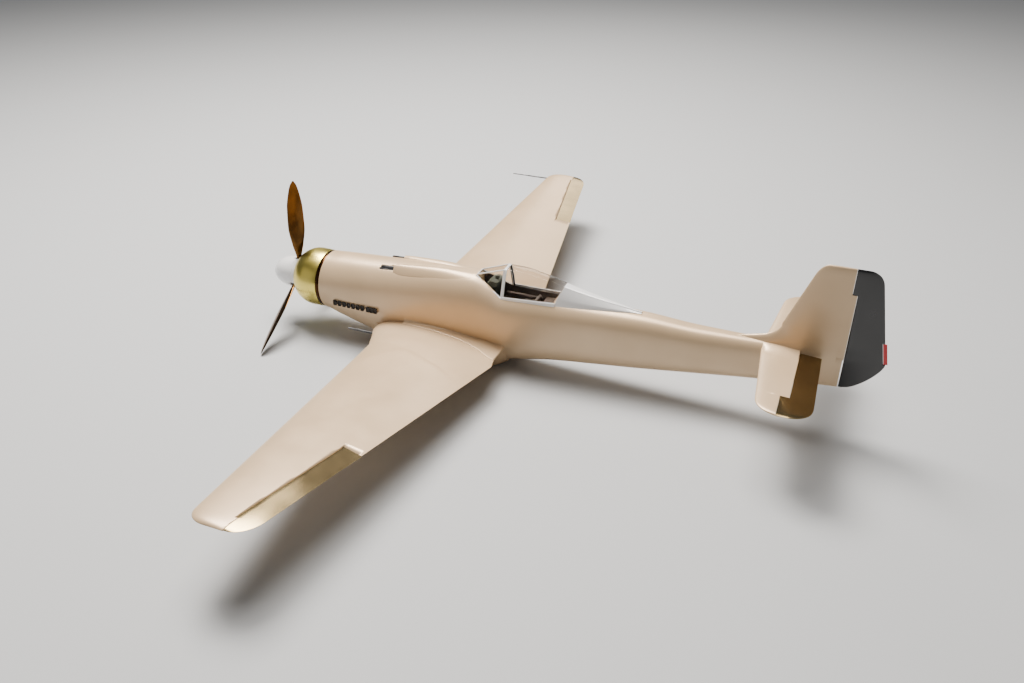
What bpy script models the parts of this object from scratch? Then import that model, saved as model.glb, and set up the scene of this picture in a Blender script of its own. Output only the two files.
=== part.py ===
"""A 1.4 m radio controlled warbird: foam airframe, electric motor, three-bladed propeller, moving controls.

Stations are in metres: aft from the spinner's tip (x), to starboard (y) and up from the thrust line (z).
The airframe's datum then puts the belly's flat on z = 0 and the middle of the length on x = 0.
"""

import math

import bmesh
import bpy
from mathutils import Matrix, Vector

# Driving dimensions
LENGTH = 1.1682
BELLY = 0.102  # thrust line above the belly's flat
GAP = 0.0003  # between pieces that touch
WALL = 0.005  # foam wall of the fuselage
HALF_SPAN = 0.700
DIHEDRAL = 0.1064  # rise of the wing's middle per metre of span
WING_MIDDLE_Z = -0.0598
ROOT_RIB_Y = 0.075
BLADE_RADIUS = 0.1945
BLADE_X = 0.0575
BLADES = 3
HINGE_GAP = 0.0010
SHARP_ANGLE = 35  # edges folded by more than this are drawn sharp, in degrees
DATUM = Vector((-LENGTH / 2, 0.0, BELLY))
SIDES = ((-1, "left"), (1, "right"))

PAINTS = {
    "pearl_skin": ((0.80, 0.68, 0.56), 0.35, 0.35),
    "gold": ((0.75, 0.58, 0.22), 0.25, 1.0),
    "copper": ((0.55, 0.26, 0.07), 0.2, 1.0),
    "white_pearl": ((0.88, 0.88, 0.90), 0.2, 0.1),
    "charcoal": ((0.05, 0.05, 0.055), 0.25, 0.2),
    "red_tab": ((0.75, 0.02, 0.03), 0.35, 0.0),
    "clear": ((0.85, 0.88, 0.88), 0.05, 0.0),
    "cockpit_dark": ((0.07, 0.055, 0.045), 0.6, 0.0),
    "panel_green": ((0.17, 0.19, 0.14), 0.5, 0.0),
    "steel": ((0.55, 0.55, 0.57), 0.3, 1.0),
    "gunmetal": ((0.12, 0.12, 0.12), 0.4, 0.8),
    "soot": ((0.06, 0.05, 0.045), 0.7, 0.3),
    "carbon": ((0.04, 0.04, 0.045), 0.4, 0.0),
    "plywood": ((0.62, 0.45, 0.27), 0.7, 0.0),
    "nylon": ((0.82, 0.80, 0.74), 0.5, 0.0),
    "servo_blue": ((0.05, 0.12, 0.35), 0.4, 0.0),
    "battery_wrap": ((0.10, 0.22, 0.55), 0.35, 0.0),
    "black_plastic": ((0.03, 0.03, 0.03), 0.45, 0.0),
}


# ---------------------------------------------------------------- helpers
def paint(name):
    """The named Principled material, made once."""
    if name in bpy.data.materials:
        return bpy.data.materials[name]
    colour, roughness, metallic = PAINTS[name]
    material = bpy.data.materials.new(name)
    material.use_nodes = True
    shader = material.node_tree.nodes["Principled BSDF"]
    shader.inputs["Base Color"].default_value = (*colour, 1.0)
    shader.inputs["Roughness"].default_value = roughness
    shader.inputs["Metallic"].default_value = metallic
    if name == "clear":
        shader.inputs["Transmission Weight"].default_value = 0.9
    return material


def table(rows, x, column):
    """Smooth interpolation of one column of a table whose first column rises."""
    if x <= rows[0][0]:
        return rows[0][column]
    for i in range(len(rows) - 1):
        a, b = rows[i], rows[i + 1]
        if x <= b[0]:
            before = rows[max(i - 1, 0)]
            after = rows[min(i + 2, len(rows) - 1)]
            span = b[0] - a[0]
            t = (x - a[0]) / span
            rise = b[column] - a[column]
            slope_a = limited_slope(before, a, b, column) * span
            slope_b = limited_slope(a, b, after, column) * span
            return (
                a[column]
                + t * slope_a
                + t * t * (3 * rise - 2 * slope_a - slope_b)
                + t ** 3 * (slope_a + slope_b - 2 * rise)
            )
    return rows[-1][column]


def limited_slope(a, b, c, column):
    """Slope at b that never overshoots its neighbours."""
    left = (b[column] - a[column]) / (b[0] - a[0]) if b[0] > a[0] else 0.0
    right = (c[column] - b[column]) / (c[0] - b[0]) if c[0] > b[0] else 0.0
    if left * right <= 0:
        return 0.0
    return 2 * left * right / (left + right)


def straight(rows, x, column=1):
    """Straight-line interpolation of one column."""
    if x <= rows[0][0]:
        return rows[0][column]
    for a, b in zip(rows, rows[1:]):
        if x <= b[0]:
            return a[column] + (b[column] - a[column]) * (x - a[0]) / (b[0] - a[0])
    return rows[-1][column]


def loft(rings):
    """A closed body through rings of equally many points, with flat ends.

    Every quad is folded along its shorter diagonal, so neighbours that follow the same skin fold alike.
    """
    bm = bmesh.new()
    rows = [[bm.verts.new(point) for point in ring] for ring in rings]
    for near, far in zip(rows, rows[1:]):
        for i in range(len(near)):
            j = (i + 1) % len(near)
            a, b, c, d = near[i], near[j], far[j], far[i]
            if (a.co - c.co).length <= (b.co - d.co).length:
                bm.faces.new((a, b, c))
                bm.faces.new((a, c, d))
            else:
                bm.faces.new((a, b, d))
                bm.faces.new((b, c, d))
    bm.faces.new(rows[0])
    bm.faces.new(rows[-1])
    return bm


def turned(profile, sides=24):
    """A body turned about the thrust line from a closed profile of (x, radius) points off the axis."""
    bm = bmesh.new()
    rows = []
    for k in range(sides):
        angle = 2 * math.pi * k / sides
        rows.append([
            bm.verts.new((x, r * math.sin(angle), r * math.cos(angle)))
            for x, r in profile
        ])
    for k in range(sides):
        here, there = rows[k], rows[(k + 1) % sides]
        for i in range(len(profile)):
            j = (i + 1) % len(profile)
            bm.faces.new((here[i], here[j], there[j], there[i]))
    return bm


def rod(a, b, radius, sides=10, end_radius=None):
    """A round rod from a to b, tapered where end_radius is given."""
    a, b = Vector(a), Vector(b)
    along = (b - a).normalized()
    across = along.orthogonal().normalized()
    other = along.cross(across)
    rings = []
    for centre, r in ((a, radius), (b, end_radius or radius)):
        rings.append([
            centre + r * (math.cos(2 * math.pi * k / sides) * across
                          + math.sin(2 * math.pi * k / sides) * other)
            for k in range(sides)
        ])
    return loft(rings)


def block(low, high, bevel=0.0):
    """A box between two corners, with its edges bevelled."""
    bm = bmesh.new()
    low, high = Vector(low), Vector(high)
    bmesh.ops.create_cube(bm, size=1.0)
    bmesh.ops.scale(bm, vec=high - low, verts=bm.verts)
    bmesh.ops.translate(bm, vec=(low + high) / 2, verts=bm.verts)
    if bevel:
        bmesh.ops.bevel(bm, geom=bm.edges[:], offset=bevel, segments=1, affect="EDGES")
    return bm


def mirrored(bm):
    """The same body on the other side of the middle."""
    copy = bm.copy()
    bmesh.ops.scale(copy, vec=(1, -1, 1), verts=copy.verts)
    bmesh.ops.reverse_faces(copy, faces=copy.faces)
    return copy


def boolean(obj, tool, operation="DIFFERENCE"):
    """Cut a helper out of an object, or join the helper to it."""
    step = obj.modifiers.new(tool.name, "BOOLEAN")
    step.operation = operation
    step.object = tool
    step.solver = "EXACT"


def add(name, bm, material, pivot=(0, 0, 0), cutters=()):
    """One named object, with its origin at pivot and a Boolean cut for each cutter."""
    bmesh.ops.recalc_face_normals(bm, faces=bm.faces)
    mesh = bpy.data.meshes.new(name)
    bm.to_mesh(mesh)
    bm.free()
    pivot = Vector(pivot)
    mesh.transform(Matrix.Translation(-pivot))
    mesh.materials.append(paint(material))
    mesh.shade_smooth()
    mesh.set_sharp_from_angle(angle=math.radians(SHARP_ANGLE))
    obj = bpy.data.objects.new(name, mesh)
    obj.location = DATUM + pivot
    bpy.context.scene.collection.objects.link(obj)
    for tool in cutters:
        boolean(obj, tool)
    return obj


def cutter(name, bm):
    """A hidden helper that other pieces are cut with."""
    obj = add(name, bm, "soot")
    obj.hide_render = True
    obj.display_type = "WIRE"
    return obj


# ---------------------------------------------------------------- fuselage
# station, half width, top, bottom, squareness
BODY = [
    (0.1345, 0.0562, 0.0578, -0.0580, 2.0),
    (0.165, 0.0564, 0.0600, -0.0690, 2.0),
    (0.200, 0.0562, 0.0620, -0.0800, 2.05),
    (0.245, 0.0552, 0.0645, -0.0925, 2.1),
    (0.300, 0.0538, 0.0680, -0.0990, 2.2),
    (0.400, 0.0505, 0.0745, -0.1000, 2.3),
    (0.450, 0.0482, 0.0742, -0.0990, 2.4),
    (0.480, 0.0468, 0.0650, -0.0975, 2.5),
    (0.512, 0.0455, 0.0525, -0.0925, 2.5),
    (0.600, 0.0412, 0.0520, -0.0750, 2.5),
    (0.700, 0.0358, 0.0520, -0.0625, 2.6),
    (0.760, 0.0325, 0.0515, -0.0558, 2.6),
    (0.870, 0.0262, 0.0460, -0.0412, 2.7),
    (0.970, 0.0205, 0.0460, -0.0283, 2.7),
    (1.050, 0.0130, 0.0440, -0.0210, 2.6),
    (1.100, 0.0068, 0.0440, -0.0168, 2.4),
]
BODY_STATIONS = [row[0] for row in BODY]


def body_point(x, angle, offset=0.0):
    """A point of the fuselage's outline at station x, from 90 degrees at the top to -90 at the bottom."""
    width = table(BODY, x, 1) + offset
    square = 2.0 / table(BODY, x, 4)
    height = table(BODY, x, 2) if angle > 0 else -table(BODY, x, 3)
    c, s = math.cos(math.radians(angle)), math.sin(math.radians(angle))
    y = width * max(c, 0.0) ** square
    z = math.copysign(abs(s) ** square, s) * (height + offset)
    return y, z


BODY_ANGLES = [90 - 20 * k for k in range(10)]


def body_shell(side):
    """Half of the foam fuselage: an outer and an inner skin that meet at the middle seam."""
    rings = []
    for x in BODY_STATIONS:
        wall = min(WALL, 0.45 * table(BODY, x, 1))
        outer = [body_point(x, a) for a in BODY_ANGLES]
        inner = [body_point(x, a, -wall) for a in reversed(BODY_ANGLES)]
        rings.append([Vector((x, side * max(y, GAP / 2), z)) for y, z in outer + inner])
    return loft(rings)


def body_envelope(offset):
    """The solid inside the fuselage's outer skin, grown by offset, for cutting its neighbours."""
    rings = []
    for x in BODY_STATIONS:
        half = [body_point(x, a, offset) for a in BODY_ANGLES]
        ring = [Vector((x, y, z)) for y, z in half]
        ring += [Vector((x, -y, z)) for y, z in reversed(half[1:-1])]
        rings.append(ring)
    return loft(rings)


# ---------------------------------------------------------------- wing
WING_LE = [(0.075, 0.2625), (0.105, 0.2760), (0.140, 0.2900), (0.666, 0.3400), (0.685, 0.3450),
           (0.694, 0.3540), (0.700, 0.3740)]
WING_TE = [(0.075, 0.5326), (0.620, 0.4477), (0.645, 0.4436), (0.668, 0.4385), (0.685, 0.4310),
           (0.694, 0.4200), (0.700, 0.4040)]
WING_THICKNESS = [(0.075, 0.140), (0.400, 0.125), (0.640, 0.110), (0.685, 0.115), (0.694, 0.115),
                  (0.700, 0.080)]
CAMBER = 0.012
AILERON_INNER_Y = 0.4677
AILERON_LINE = (0.4368, -0.162)  # where the wing's skin ends in front of the aileron, and its sweep
AILERON_AXIS_BACK = 0.0052
AILERON_OUTER_Y = 0.6985


def airfoil(share, thickness):
    """Half thickness of a four-digit section at a share of its chord."""
    return 5 * thickness * (0.2969 * math.sqrt(share) - 0.1260 * share - 0.3516 * share ** 2
                            + 0.2843 * share ** 3 - 0.1015 * share ** 4)


def wing_middle(y):
    return WING_MIDDLE_Z + DIHEDRAL * y


def wing_surface(y, x, side):
    """Height of the wing's upper (side 1) or lower (side -1) skin."""
    front, back = straight(WING_LE, y), straight(WING_TE, y)
    share = min(max((x - front) / (back - front), 0.0), 1.0)
    chord = back - front
    half = max(airfoil(share, straight(WING_THICKNESS, y)) * chord, 0.0004)
    if share == 0.0:
        half = 0.0
    return wing_middle(y) + 4 * CAMBER * chord * share * (1 - share) + side * half


def aileron_line(y):
    return AILERON_LINE[0] + AILERON_LINE[1] * (y - AILERON_INNER_Y)


SECTION_SHARES = (0.0, 0.015, 0.06, 0.15, 0.30, 0.50, 0.72, 0.88, 1.0)


def wing_ring(y):
    """One rib of the wing, from the nose over the top to the trailing edge and back underneath."""
    front, back = straight(WING_LE, y), straight(WING_TE, y)
    xs = [front + share * (back - front) for share in SECTION_SHARES]
    ring = [Vector((x, y, wing_surface(y, x, 1))) for x in xs]
    return ring + [Vector((x, y, wing_surface(y, x, -1))) for x in reversed(xs[1:])]


def wing_panel():
    """The starboard wing's foam core, out to the tip."""
    stations = (ROOT_RIB_Y, 0.105, 0.140, 0.250, 0.360, 0.460, 0.560, 0.640, 0.670, 0.685, 0.694, HALF_SPAN)
    return loft([wing_ring(y) for y in stations])


def aileron_bay(side):
    """Everything behind the hinge line, from the aileron's inner end outwards."""
    beyond_x, beyond_y = 0.60, 0.80
    slope = -AILERON_LINE[1]
    front_x = aileron_line(AILERON_INNER_Y)
    inner_y = AILERON_INNER_Y - HINGE_GAP - slope * AILERON_AXIS_BACK
    outline = [
        (aileron_line(inner_y), inner_y),
        (beyond_x, inner_y + slope * (beyond_x - front_x)),
        (beyond_x, beyond_y),
        (aileron_line(beyond_y), beyond_y),
    ]
    return loft([[Vector((x, side * y, z)) for x, y in outline] for z in (-0.2, 0.2)])


def aileron_axis(y):
    x = aileron_line(y) + AILERON_AXIS_BACK
    return Vector((x, y, (wing_surface(y, x, 1) + wing_surface(y, x, -1)) / 2))


def aileron_panel():
    """The starboard aileron, with a rounded nose about its hinge line."""
    rings = []
    stations = (AILERON_INNER_Y, 0.560, 0.640, 0.668, 0.685, 0.694, AILERON_OUTER_Y)
    for y in stations:
        shear = 1.0 if y == AILERON_INNER_Y else 0.0
        axis = aileron_axis(y)
        back = max(straight(WING_TE, y), axis.x + 0.002)
        half = wing_surface(y, axis.x, 1) - axis.z
        nose = [
            Vector((axis.x - (AILERON_AXIS_BACK - HINGE_GAP) * math.sin(math.radians(a)), y,
                    axis.z + half * math.cos(math.radians(a))))
            for a in (150, 110, 70, 30)
        ]
        xs = [axis.x + share * (back - axis.x) for share in (0.0, 0.35, 0.7, 1.0)]

        def at(x, side):
            return Vector((x, y - shear * AILERON_LINE[1] * (x - axis.x), wing_surface(y, x, side)))

        rings.append(nose + [at(x, 1) for x in xs] + [at(x, -1) for x in reversed(xs)])
    return loft(rings)


def centre_ring(x):
    """A section of the wing's centre: flat on top, flared to the root ribs, with the belly's flat below."""
    nose_side = 0.0545
    top_z = SADDLE_Z - GAP
    front, back = WING_LE[0][1], WING_TE[0][1]
    rib = ROOT_RIB_Y - GAP
    inside = min(max((x - CENTRE_FRONT) / (front - CENTRE_FRONT), 0.0), 1.0)
    side_y = nose_side + inside * (rib - nose_side)
    x_rib = min(max(x, front), back)
    upper, lower = wing_surface(ROOT_RIB_Y, x_rib, 1), wing_surface(ROOT_RIB_Y, x_rib, -1)
    upper, lower = max(upper, lower + 0.001), min(lower, upper - 0.001)
    belly = table(BELLY_LINE, x, 1)
    flat = table(BELLY_LINE, x, 2)
    body_y = body_width_at(x, top_z)
    half = [
        (body_y, top_z),
        ((body_y + side_y) / 2, (top_z + 2 * upper) / 3),
        (side_y, upper),
        (side_y, lower),
        ((side_y + flat) / 2, (lower + 2 * belly) / 3),
        (flat, belly),
    ]
    return [Vector((x, y, z)) for y, z in half] + [Vector((x, -y, z)) for y, z in reversed(half)]


def body_width_at(x, z):
    """Half width of the fuselage at station x and height z below the middle."""
    depth = -table(BODY, x, 3)
    square = table(BODY, x, 4)
    return table(BODY, x, 1) * (1 - (abs(z) / depth) ** square) ** (1 / square)


SADDLE_Z = -0.0300
CENTRE_FRONT, CENTRE_BACK = 0.2450, 0.5300
# station, belly height, half width of its flat
BELLY_LINE = [
    (0.2450, -0.0925, 0.020),
    (0.2700, -0.0985, 0.030),
    (0.2950, -BELLY, 0.036),
    (0.4750, -BELLY, 0.036),
    (0.5000, -0.0980, 0.030),
    (0.5300, -0.0890, 0.018),
]


def wing_centre():
    """The middle of the wing, which fills the saddle and shows as the belly."""
    stations = (CENTRE_FRONT + GAP, 0.2560, 0.2640, 0.2700, 0.2950, 0.3500, 0.4100, 0.4750, 0.5000,
                0.5150, CENTRE_BACK - GAP)
    return loft([centre_ring(x) for x in stations])


# ---------------------------------------------------------------- tail
TAIL_Z = 0.0356
STAB_LE = [(0.0, 0.9704), (0.175, 0.9857), (0.194, 0.9877), (0.2005, 0.9920), (0.2045, 1.0080)]
STAB_TE = [(0.0, 1.0683), (0.163, 1.0719), (0.180, 1.0690), (0.190, 1.0610), (0.2005, 1.0480),
           (0.2045, 1.0350)]
STAB_THICK = [(0.0, 0.0050), (0.175, 0.0036), (0.194, 0.0030), (0.2005, 0.0022), (0.2045, 0.0008)]
ELEVATOR_LINE, ELEVATOR_HORN_LINE = 1.0338, 1.0199
ELEVATOR_AXIS_X = 1.0390
HORN_Y = 0.1530


def tail_half(rows_thick, along, front, back, x):
    """Half thickness of a tail surface at x, thickest a third of the way back."""
    share = min(max((x - front) / (back - front), 0.0), 1.0)
    scale = straight(rows_thick, along)
    if share < 0.3:
        return scale * math.sqrt(max(1 - ((0.3 - share) / 0.3) ** 2, 0.0))
    return scale * (1 - 0.88 * ((share - 0.3) / 0.7) ** 1.3)


def stabilizer_panel(root):
    """The starboard tailplane from its root in the fuselage, in front of the elevator and its horn."""
    rings = []
    stations = (root, 0.090, HORN_Y - HINGE_GAP, HORN_Y - 0.6 * HINGE_GAP, 0.180, 0.194, 0.2005, 0.2045)
    for y in stations:
        front, back = straight(STAB_LE, y), straight(STAB_TE, y)
        end = ELEVATOR_LINE if y < HORN_Y - 0.8 * HINGE_GAP else ELEVATOR_HORN_LINE
        xs = [front + share * (end - front) for share in (0.0, 0.06, 0.2, 0.5, 1.0)]
        half = [tail_half(STAB_THICK, y, front, back, x) for x in xs]
        ring = [Vector((x, y, TAIL_Z + h)) for x, h in zip(xs, half)]
        ring += [Vector((x, y, TAIL_Z - h)) for x, h in zip(reversed(xs[1:]), reversed(half[1:]))]
        rings.append(ring)
    return loft(rings)


def surface_ring(axis, nose, back, half_at, place):
    """A rib of a hinged surface: a round nose in front of its axis, then its two skins to the edge."""
    half = half_at(axis)
    ring = [place(axis - nose * math.sin(math.radians(a)), half * math.cos(math.radians(a)))
            for a in (150, 110, 70, 30)]
    xs = [axis + share * (back - axis) for share in (0.0, 0.5, 1.0)]
    ring += [place(x, half_at(x)) for x in xs]
    ring += [place(x, -half_at(x)) for x in reversed(xs)]
    return ring


def elevator_panel(root):
    """The starboard elevator, with its horn in front of the hinge line at the tip."""
    rings = []
    for y in (root, 0.090, HORN_Y, HORN_Y + 0.4 * HINGE_GAP, 0.180, 0.190, 0.2005, 0.2043):
        front, back = straight(STAB_LE, y), straight(STAB_TE, y)
        back = max(back, ELEVATOR_AXIS_X + 0.002)
        line = ELEVATOR_LINE if y <= HORN_Y else ELEVATOR_HORN_LINE
        nose = ELEVATOR_AXIS_X - line - HINGE_GAP
        rings.append(surface_ring(
            ELEVATOR_AXIS_X, nose, back,
            lambda x: max(tail_half(STAB_THICK, y, front, back, x), 0.0004),
            lambda x, h: Vector((x, y, TAIL_Z + h))))
    return loft(rings)


FIN_LE = [(0.036, 0.930), (0.049, 0.945), (0.057, 0.972), (0.069, 0.992), (0.186, 1.037), (0.194, 1.045),
          (0.1980, 1.056)]
RUDDER_TE = [(-0.0164, 1.1120), (-0.0120, 1.1180), (-0.0066, 1.1290), (0.0120, 1.1490), (0.0317, 1.1632),
             (0.0404, 1.1653), (0.1815, 1.1361), (0.1900, 1.1290), (0.1955, 1.1220), (0.1980, 1.1150)]
FIN_THICK = [(-0.0164, 0.0056), (0.036, 0.0072), (0.069, 0.0066), (0.186, 0.0040), (0.194, 0.0034),
             (0.198, 0.0016)]
RUDDER_LINE, RUDDER_HORN_LINE = 1.1014, 1.0935
RUDDER_AXIS_X = 1.1068
RUDDER_HORN_Z = 0.1540


def fin_panel():
    """The fin, from its foot in the fuselage's deck to the tip."""
    rings = []
    for z in (0.036, 0.049, 0.057, 0.069, 0.110, RUDDER_HORN_Z - HINGE_GAP,
              RUDDER_HORN_Z - 0.6 * HINGE_GAP, 0.170, 0.186, 0.194, 0.198):
        front, back = straight(FIN_LE, z), straight(RUDDER_TE, z)
        end = RUDDER_LINE if z < RUDDER_HORN_Z - 0.8 * HINGE_GAP else RUDDER_HORN_LINE
        xs = [front + share * (end - front) for share in (0.0, 0.06, 0.2, 0.5, 1.0)]
        half = [tail_half(FIN_THICK, z, front, back, x) for x in xs]
        ring = [Vector((x, h, z)) for x, h in zip(xs, half)]
        ring += [Vector((x, -h, z)) for x, h in zip(reversed(xs[1:]), reversed(half[1:]))]
        rings.append(ring)
    return loft(rings)


def rudder_panel():
    """The rudder, with its horn in front of the hinge line at the top."""
    rings = []
    for z in (-0.0164, -0.0120, -0.0066, 0.0120, 0.0317, 0.0404, 0.0900, RUDDER_HORN_Z,
              RUDDER_HORN_Z + 0.4 * HINGE_GAP, 0.1700, 0.1815, 0.1900, 0.1955, 0.1978):
        front, back = straight(FIN_LE, z), straight(RUDDER_TE, z)
        line = RUDDER_LINE if z <= RUDDER_HORN_Z else RUDDER_HORN_LINE
        nose = RUDDER_AXIS_X - line - HINGE_GAP
        rings.append(surface_ring(
            RUDDER_AXIS_X, nose, back,
            lambda x: max(tail_half(FIN_THICK, z, front, back, x), 0.0005),
            lambda x, h: Vector((x, h, z))))
    return loft(rings)


TAB_BOTTOM, TAB_TOP = 0.0410, 0.0770
TAB_INSET, TAB_OVERHANG = 0.0050, 0.0030


def tab_panel():
    """The rudder's trim tab: the last of its trailing edge."""
    rings = []
    for z in (TAB_BOTTOM, TAB_TOP):
        front, back = straight(FIN_LE, z), straight(RUDDER_TE, z)
        xs = (back - TAB_INSET + GAP, back + TAB_OVERHANG)
        half = (tail_half(FIN_THICK, z, front, back, xs[0]), 0.0005)
        rings.append([
            Vector((xs[0], half[0], z)),
            Vector((xs[1], half[1], z)),
            Vector((xs[1], -half[1], z)),
            Vector((xs[0], -half[0], z)),
        ])
    return loft(rings)


def tab_bay():
    """The notch of the trim tab in the rudder's trailing edge."""
    rings = []
    for z in (TAB_BOTTOM - GAP, TAB_TOP + GAP):
        x = straight(RUDDER_TE, z) - TAB_INSET
        rings.append([Vector((x, 0.02, z)), Vector((x + 0.05, 0.02, z)), Vector((x + 0.05, -0.02, z)),
                      Vector((x, -0.02, z))])
    return loft(rings)


# ---------------------------------------------------------------- exhausts, guns and probe
EXHAUST_FRONT, EXHAUST_SLOPE = 0.1655, -0.012
EXHAUST_MIDDLE_Z = -0.0190
EXHAUST_STUBS = [0.0005 + 0.0100 * k for k in range(7)] + [0.0750 + 0.0080 * k for k in range(3)]
EXHAUST_LENGTH = 0.0985


def exhaust_row():
    """The starboard exhaust: a strip on the skin with its stubs."""
    strip_y, stub_y, inside_y = 0.0568, 0.0590, 0.0480
    stub_length, half_height = 0.0064, 0.0055
    outline = [(0.0, inside_y), (0.0, strip_y)]
    for x in EXHAUST_STUBS:
        outline += [(x, strip_y), (x, stub_y), (x + stub_length, stub_y), (x + stub_length, strip_y)]
    outline += [(EXHAUST_LENGTH, strip_y - 0.0008), (EXHAUST_LENGTH, inside_y)]
    rings = []
    for up in (-half_height, half_height):
        level = EXHAUST_MIDDLE_Z + up
        rings.append([Vector((EXHAUST_FRONT + x, y, level + EXHAUST_SLOPE * x)) for x, y in outline])
    return loft(rings)


GUN_Y, GUN_FRONT, GUN_FAIRING_FRONT = 0.0230, 0.2585, 0.2915


def gun_fairing():
    """A teardrop blister over the starboard cowl gun, fading into the skin in front of the windscreen."""
    # station, half width, height of the crown above the thrust line, offset from the middle
    ribs = [
        (GUN_FAIRING_FRONT, 0.0085, 0.0700, GUN_Y),
        (0.300, 0.0105, 0.0725, GUN_Y),
        (0.340, 0.0110, 0.0735, 0.0220),
        (0.390, 0.0085, 0.0728, 0.0200),
        (0.445, 0.0050, 0.0715, 0.0165),
    ]
    # across and up, as shares of the half width and of the height above the foot
    dome = [(-1.3, 0.0), (-1.0, 0.70), (-0.5, 0.95), (0.0, 1.0), (0.5, 0.92), (1.0, 0.60), (1.3, 0.0)]
    foot = 0.050
    rings = []
    for x, half, crown, y in ribs:
        rings.append([Vector((x, y + half * across, foot + (crown - foot) * up)) for across, up in dome])
    return loft(rings)


def build_armament(envelope):
    """Exhausts, gun blisters and barrels on both sides, and the probe on the starboard wing."""
    exhaust, fairing = exhaust_row(), gun_fairing()
    add("exhaust_left", mirrored(exhaust), "soot", cutters=[envelope])
    add("exhaust_right", exhaust, "soot", cutters=[envelope])
    add("gun_fairing_left", mirrored(fairing), "pearl_skin", cutters=[envelope])
    add("gun_fairing_right", fairing, "pearl_skin", cutters=[envelope])
    root_gun_y, root_gun_front = 0.0880, 0.2150
    root_gun_end = straight(WING_LE, root_gun_y) - 0.0012
    for side, name in SIDES:
        start = Vector((GUN_FRONT, side * GUN_Y, 0.0625))
        end = Vector((GUN_FAIRING_FRONT - GAP, side * GUN_Y, 0.0645))
        add(f"cowl_gun_{name}", rod(start, end, 0.0032, 8), "gunmetal", cutters=[envelope])
        start = Vector((root_gun_front, side * root_gun_y, wing_middle(root_gun_y)))
        end = Vector((root_gun_end, side * root_gun_y, wing_middle(root_gun_y)))
        add(f"root_gun_{name}", rod(start, end, 0.0018, 8, 0.0022), "gunmetal")
    probe_y, probe_front = 0.6730, 0.2495
    start = Vector((probe_front, probe_y, wing_middle(probe_y)))
    end = Vector((straight(WING_LE, probe_y) - 0.0006, probe_y, wing_middle(probe_y)))
    add("pitot_tube", rod(start, end, 0.0010, 8, 0.0014), "steel")


# ---------------------------------------------------------------- cockpit and radio gear
def build_cockpit():
    """The open cockpit tub with its instrument panel and seat."""
    floor = 0.0233
    hollow = cutter("cockpit_hollow", block((0.4732, -0.0212, 0.0230), (0.5970, 0.0212, 0.1)))
    tub = block((0.4704, -0.0231, 0.0206), (0.5996, 0.0231, 0.0450))
    add("cockpit_tub", tub, "cockpit_dark", cutters=[hollow])
    panel = [
        (0.4735, floor), (0.4735, 0.0640), (0.4830, 0.0680), (0.4950, 0.0660), (0.4950, 0.0600),
        (0.4850, 0.0560), (0.4850, floor),
    ]
    add("instrument_panel", extruded(panel, 0.0150), "panel_green")
    seat = [
        (0.5400, floor), (0.5400, 0.0330), (0.5660, 0.0330), (0.5720, 0.0620), (0.5760, 0.0620),
        (0.5720, floor),
    ]
    add("seat", extruded(seat, 0.0140), "cockpit_dark")


def extruded(profile, half_width):
    """A side view made half_width thick to each side of the middle."""
    return loft([[Vector((x, y, z)) for x, z in profile] for y in (-half_width, half_width)])


TRAY_TOP = -0.0265
SERVO_TRAY_TOP = 0.0000
SERVO_SIZE = Vector((0.0230, 0.0120, 0.0225))


def add_servo(name, low, size=SERVO_SIZE):
    """A servo's case, from its lowest corner."""
    low = Vector(low)
    add(name, block(low, low + size, 0.0006), "servo_blue")


def build_radio_gear():
    """The battery, speed controller, receiver and tail servos on their two trays."""
    tray = block((0.1850, -0.0260, -0.0290), (0.4650, 0.0260, TRAY_TOP - GAP))
    add("battery_tray", tray, "plywood")
    battery = block((0.2000, -0.0215, TRAY_TOP), (0.3350, 0.0215, TRAY_TOP + 0.0270), 0.003)
    add("battery", battery, "battery_wrap")
    controller = block((0.3450, -0.0150, TRAY_TOP), (0.4050, 0.0150, TRAY_TOP + 0.0120), 0.001)
    add("speed_controller", controller, "black_plastic")
    receiver = block((0.4150, -0.0120, TRAY_TOP), (0.4550, 0.0120, TRAY_TOP + 0.0130), 0.001)
    add("receiver", receiver, "black_plastic")
    tray = block((0.6050, -0.0290, SERVO_TRAY_TOP - 0.0023), (0.6600, 0.0290, SERVO_TRAY_TOP - GAP))
    add("servo_tray", tray, "plywood")
    add_servo("elevator_servo", (0.6200, -0.0165, SERVO_TRAY_TOP))
    add_servo("rudder_servo", (0.6200, 0.0045, SERVO_TRAY_TOP))


SPAR_X, SPAR_INNER_Y, SPAR_OUTER_Y = 0.3450, 0.0200, 0.3500


def spar(radius, extra=0.0):
    """The starboard wing's spar tube along the middle of the section."""
    inner, outer = SPAR_INNER_Y - extra, SPAR_OUTER_Y + extra
    start = (SPAR_X, inner, wing_middle(inner) + 0.008)
    end = (SPAR_X, outer, wing_middle(outer) + 0.006)
    return rod(start, end, radius, 12)


AILERON_SERVO = ((0.3850, 0.4850, -0.0200), (0.4080, 0.4970, -0.0070))
BOLT_X, BOLT_Y = 0.5050, 0.0180
BOLT_PLATE_Z = -0.0240


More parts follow.
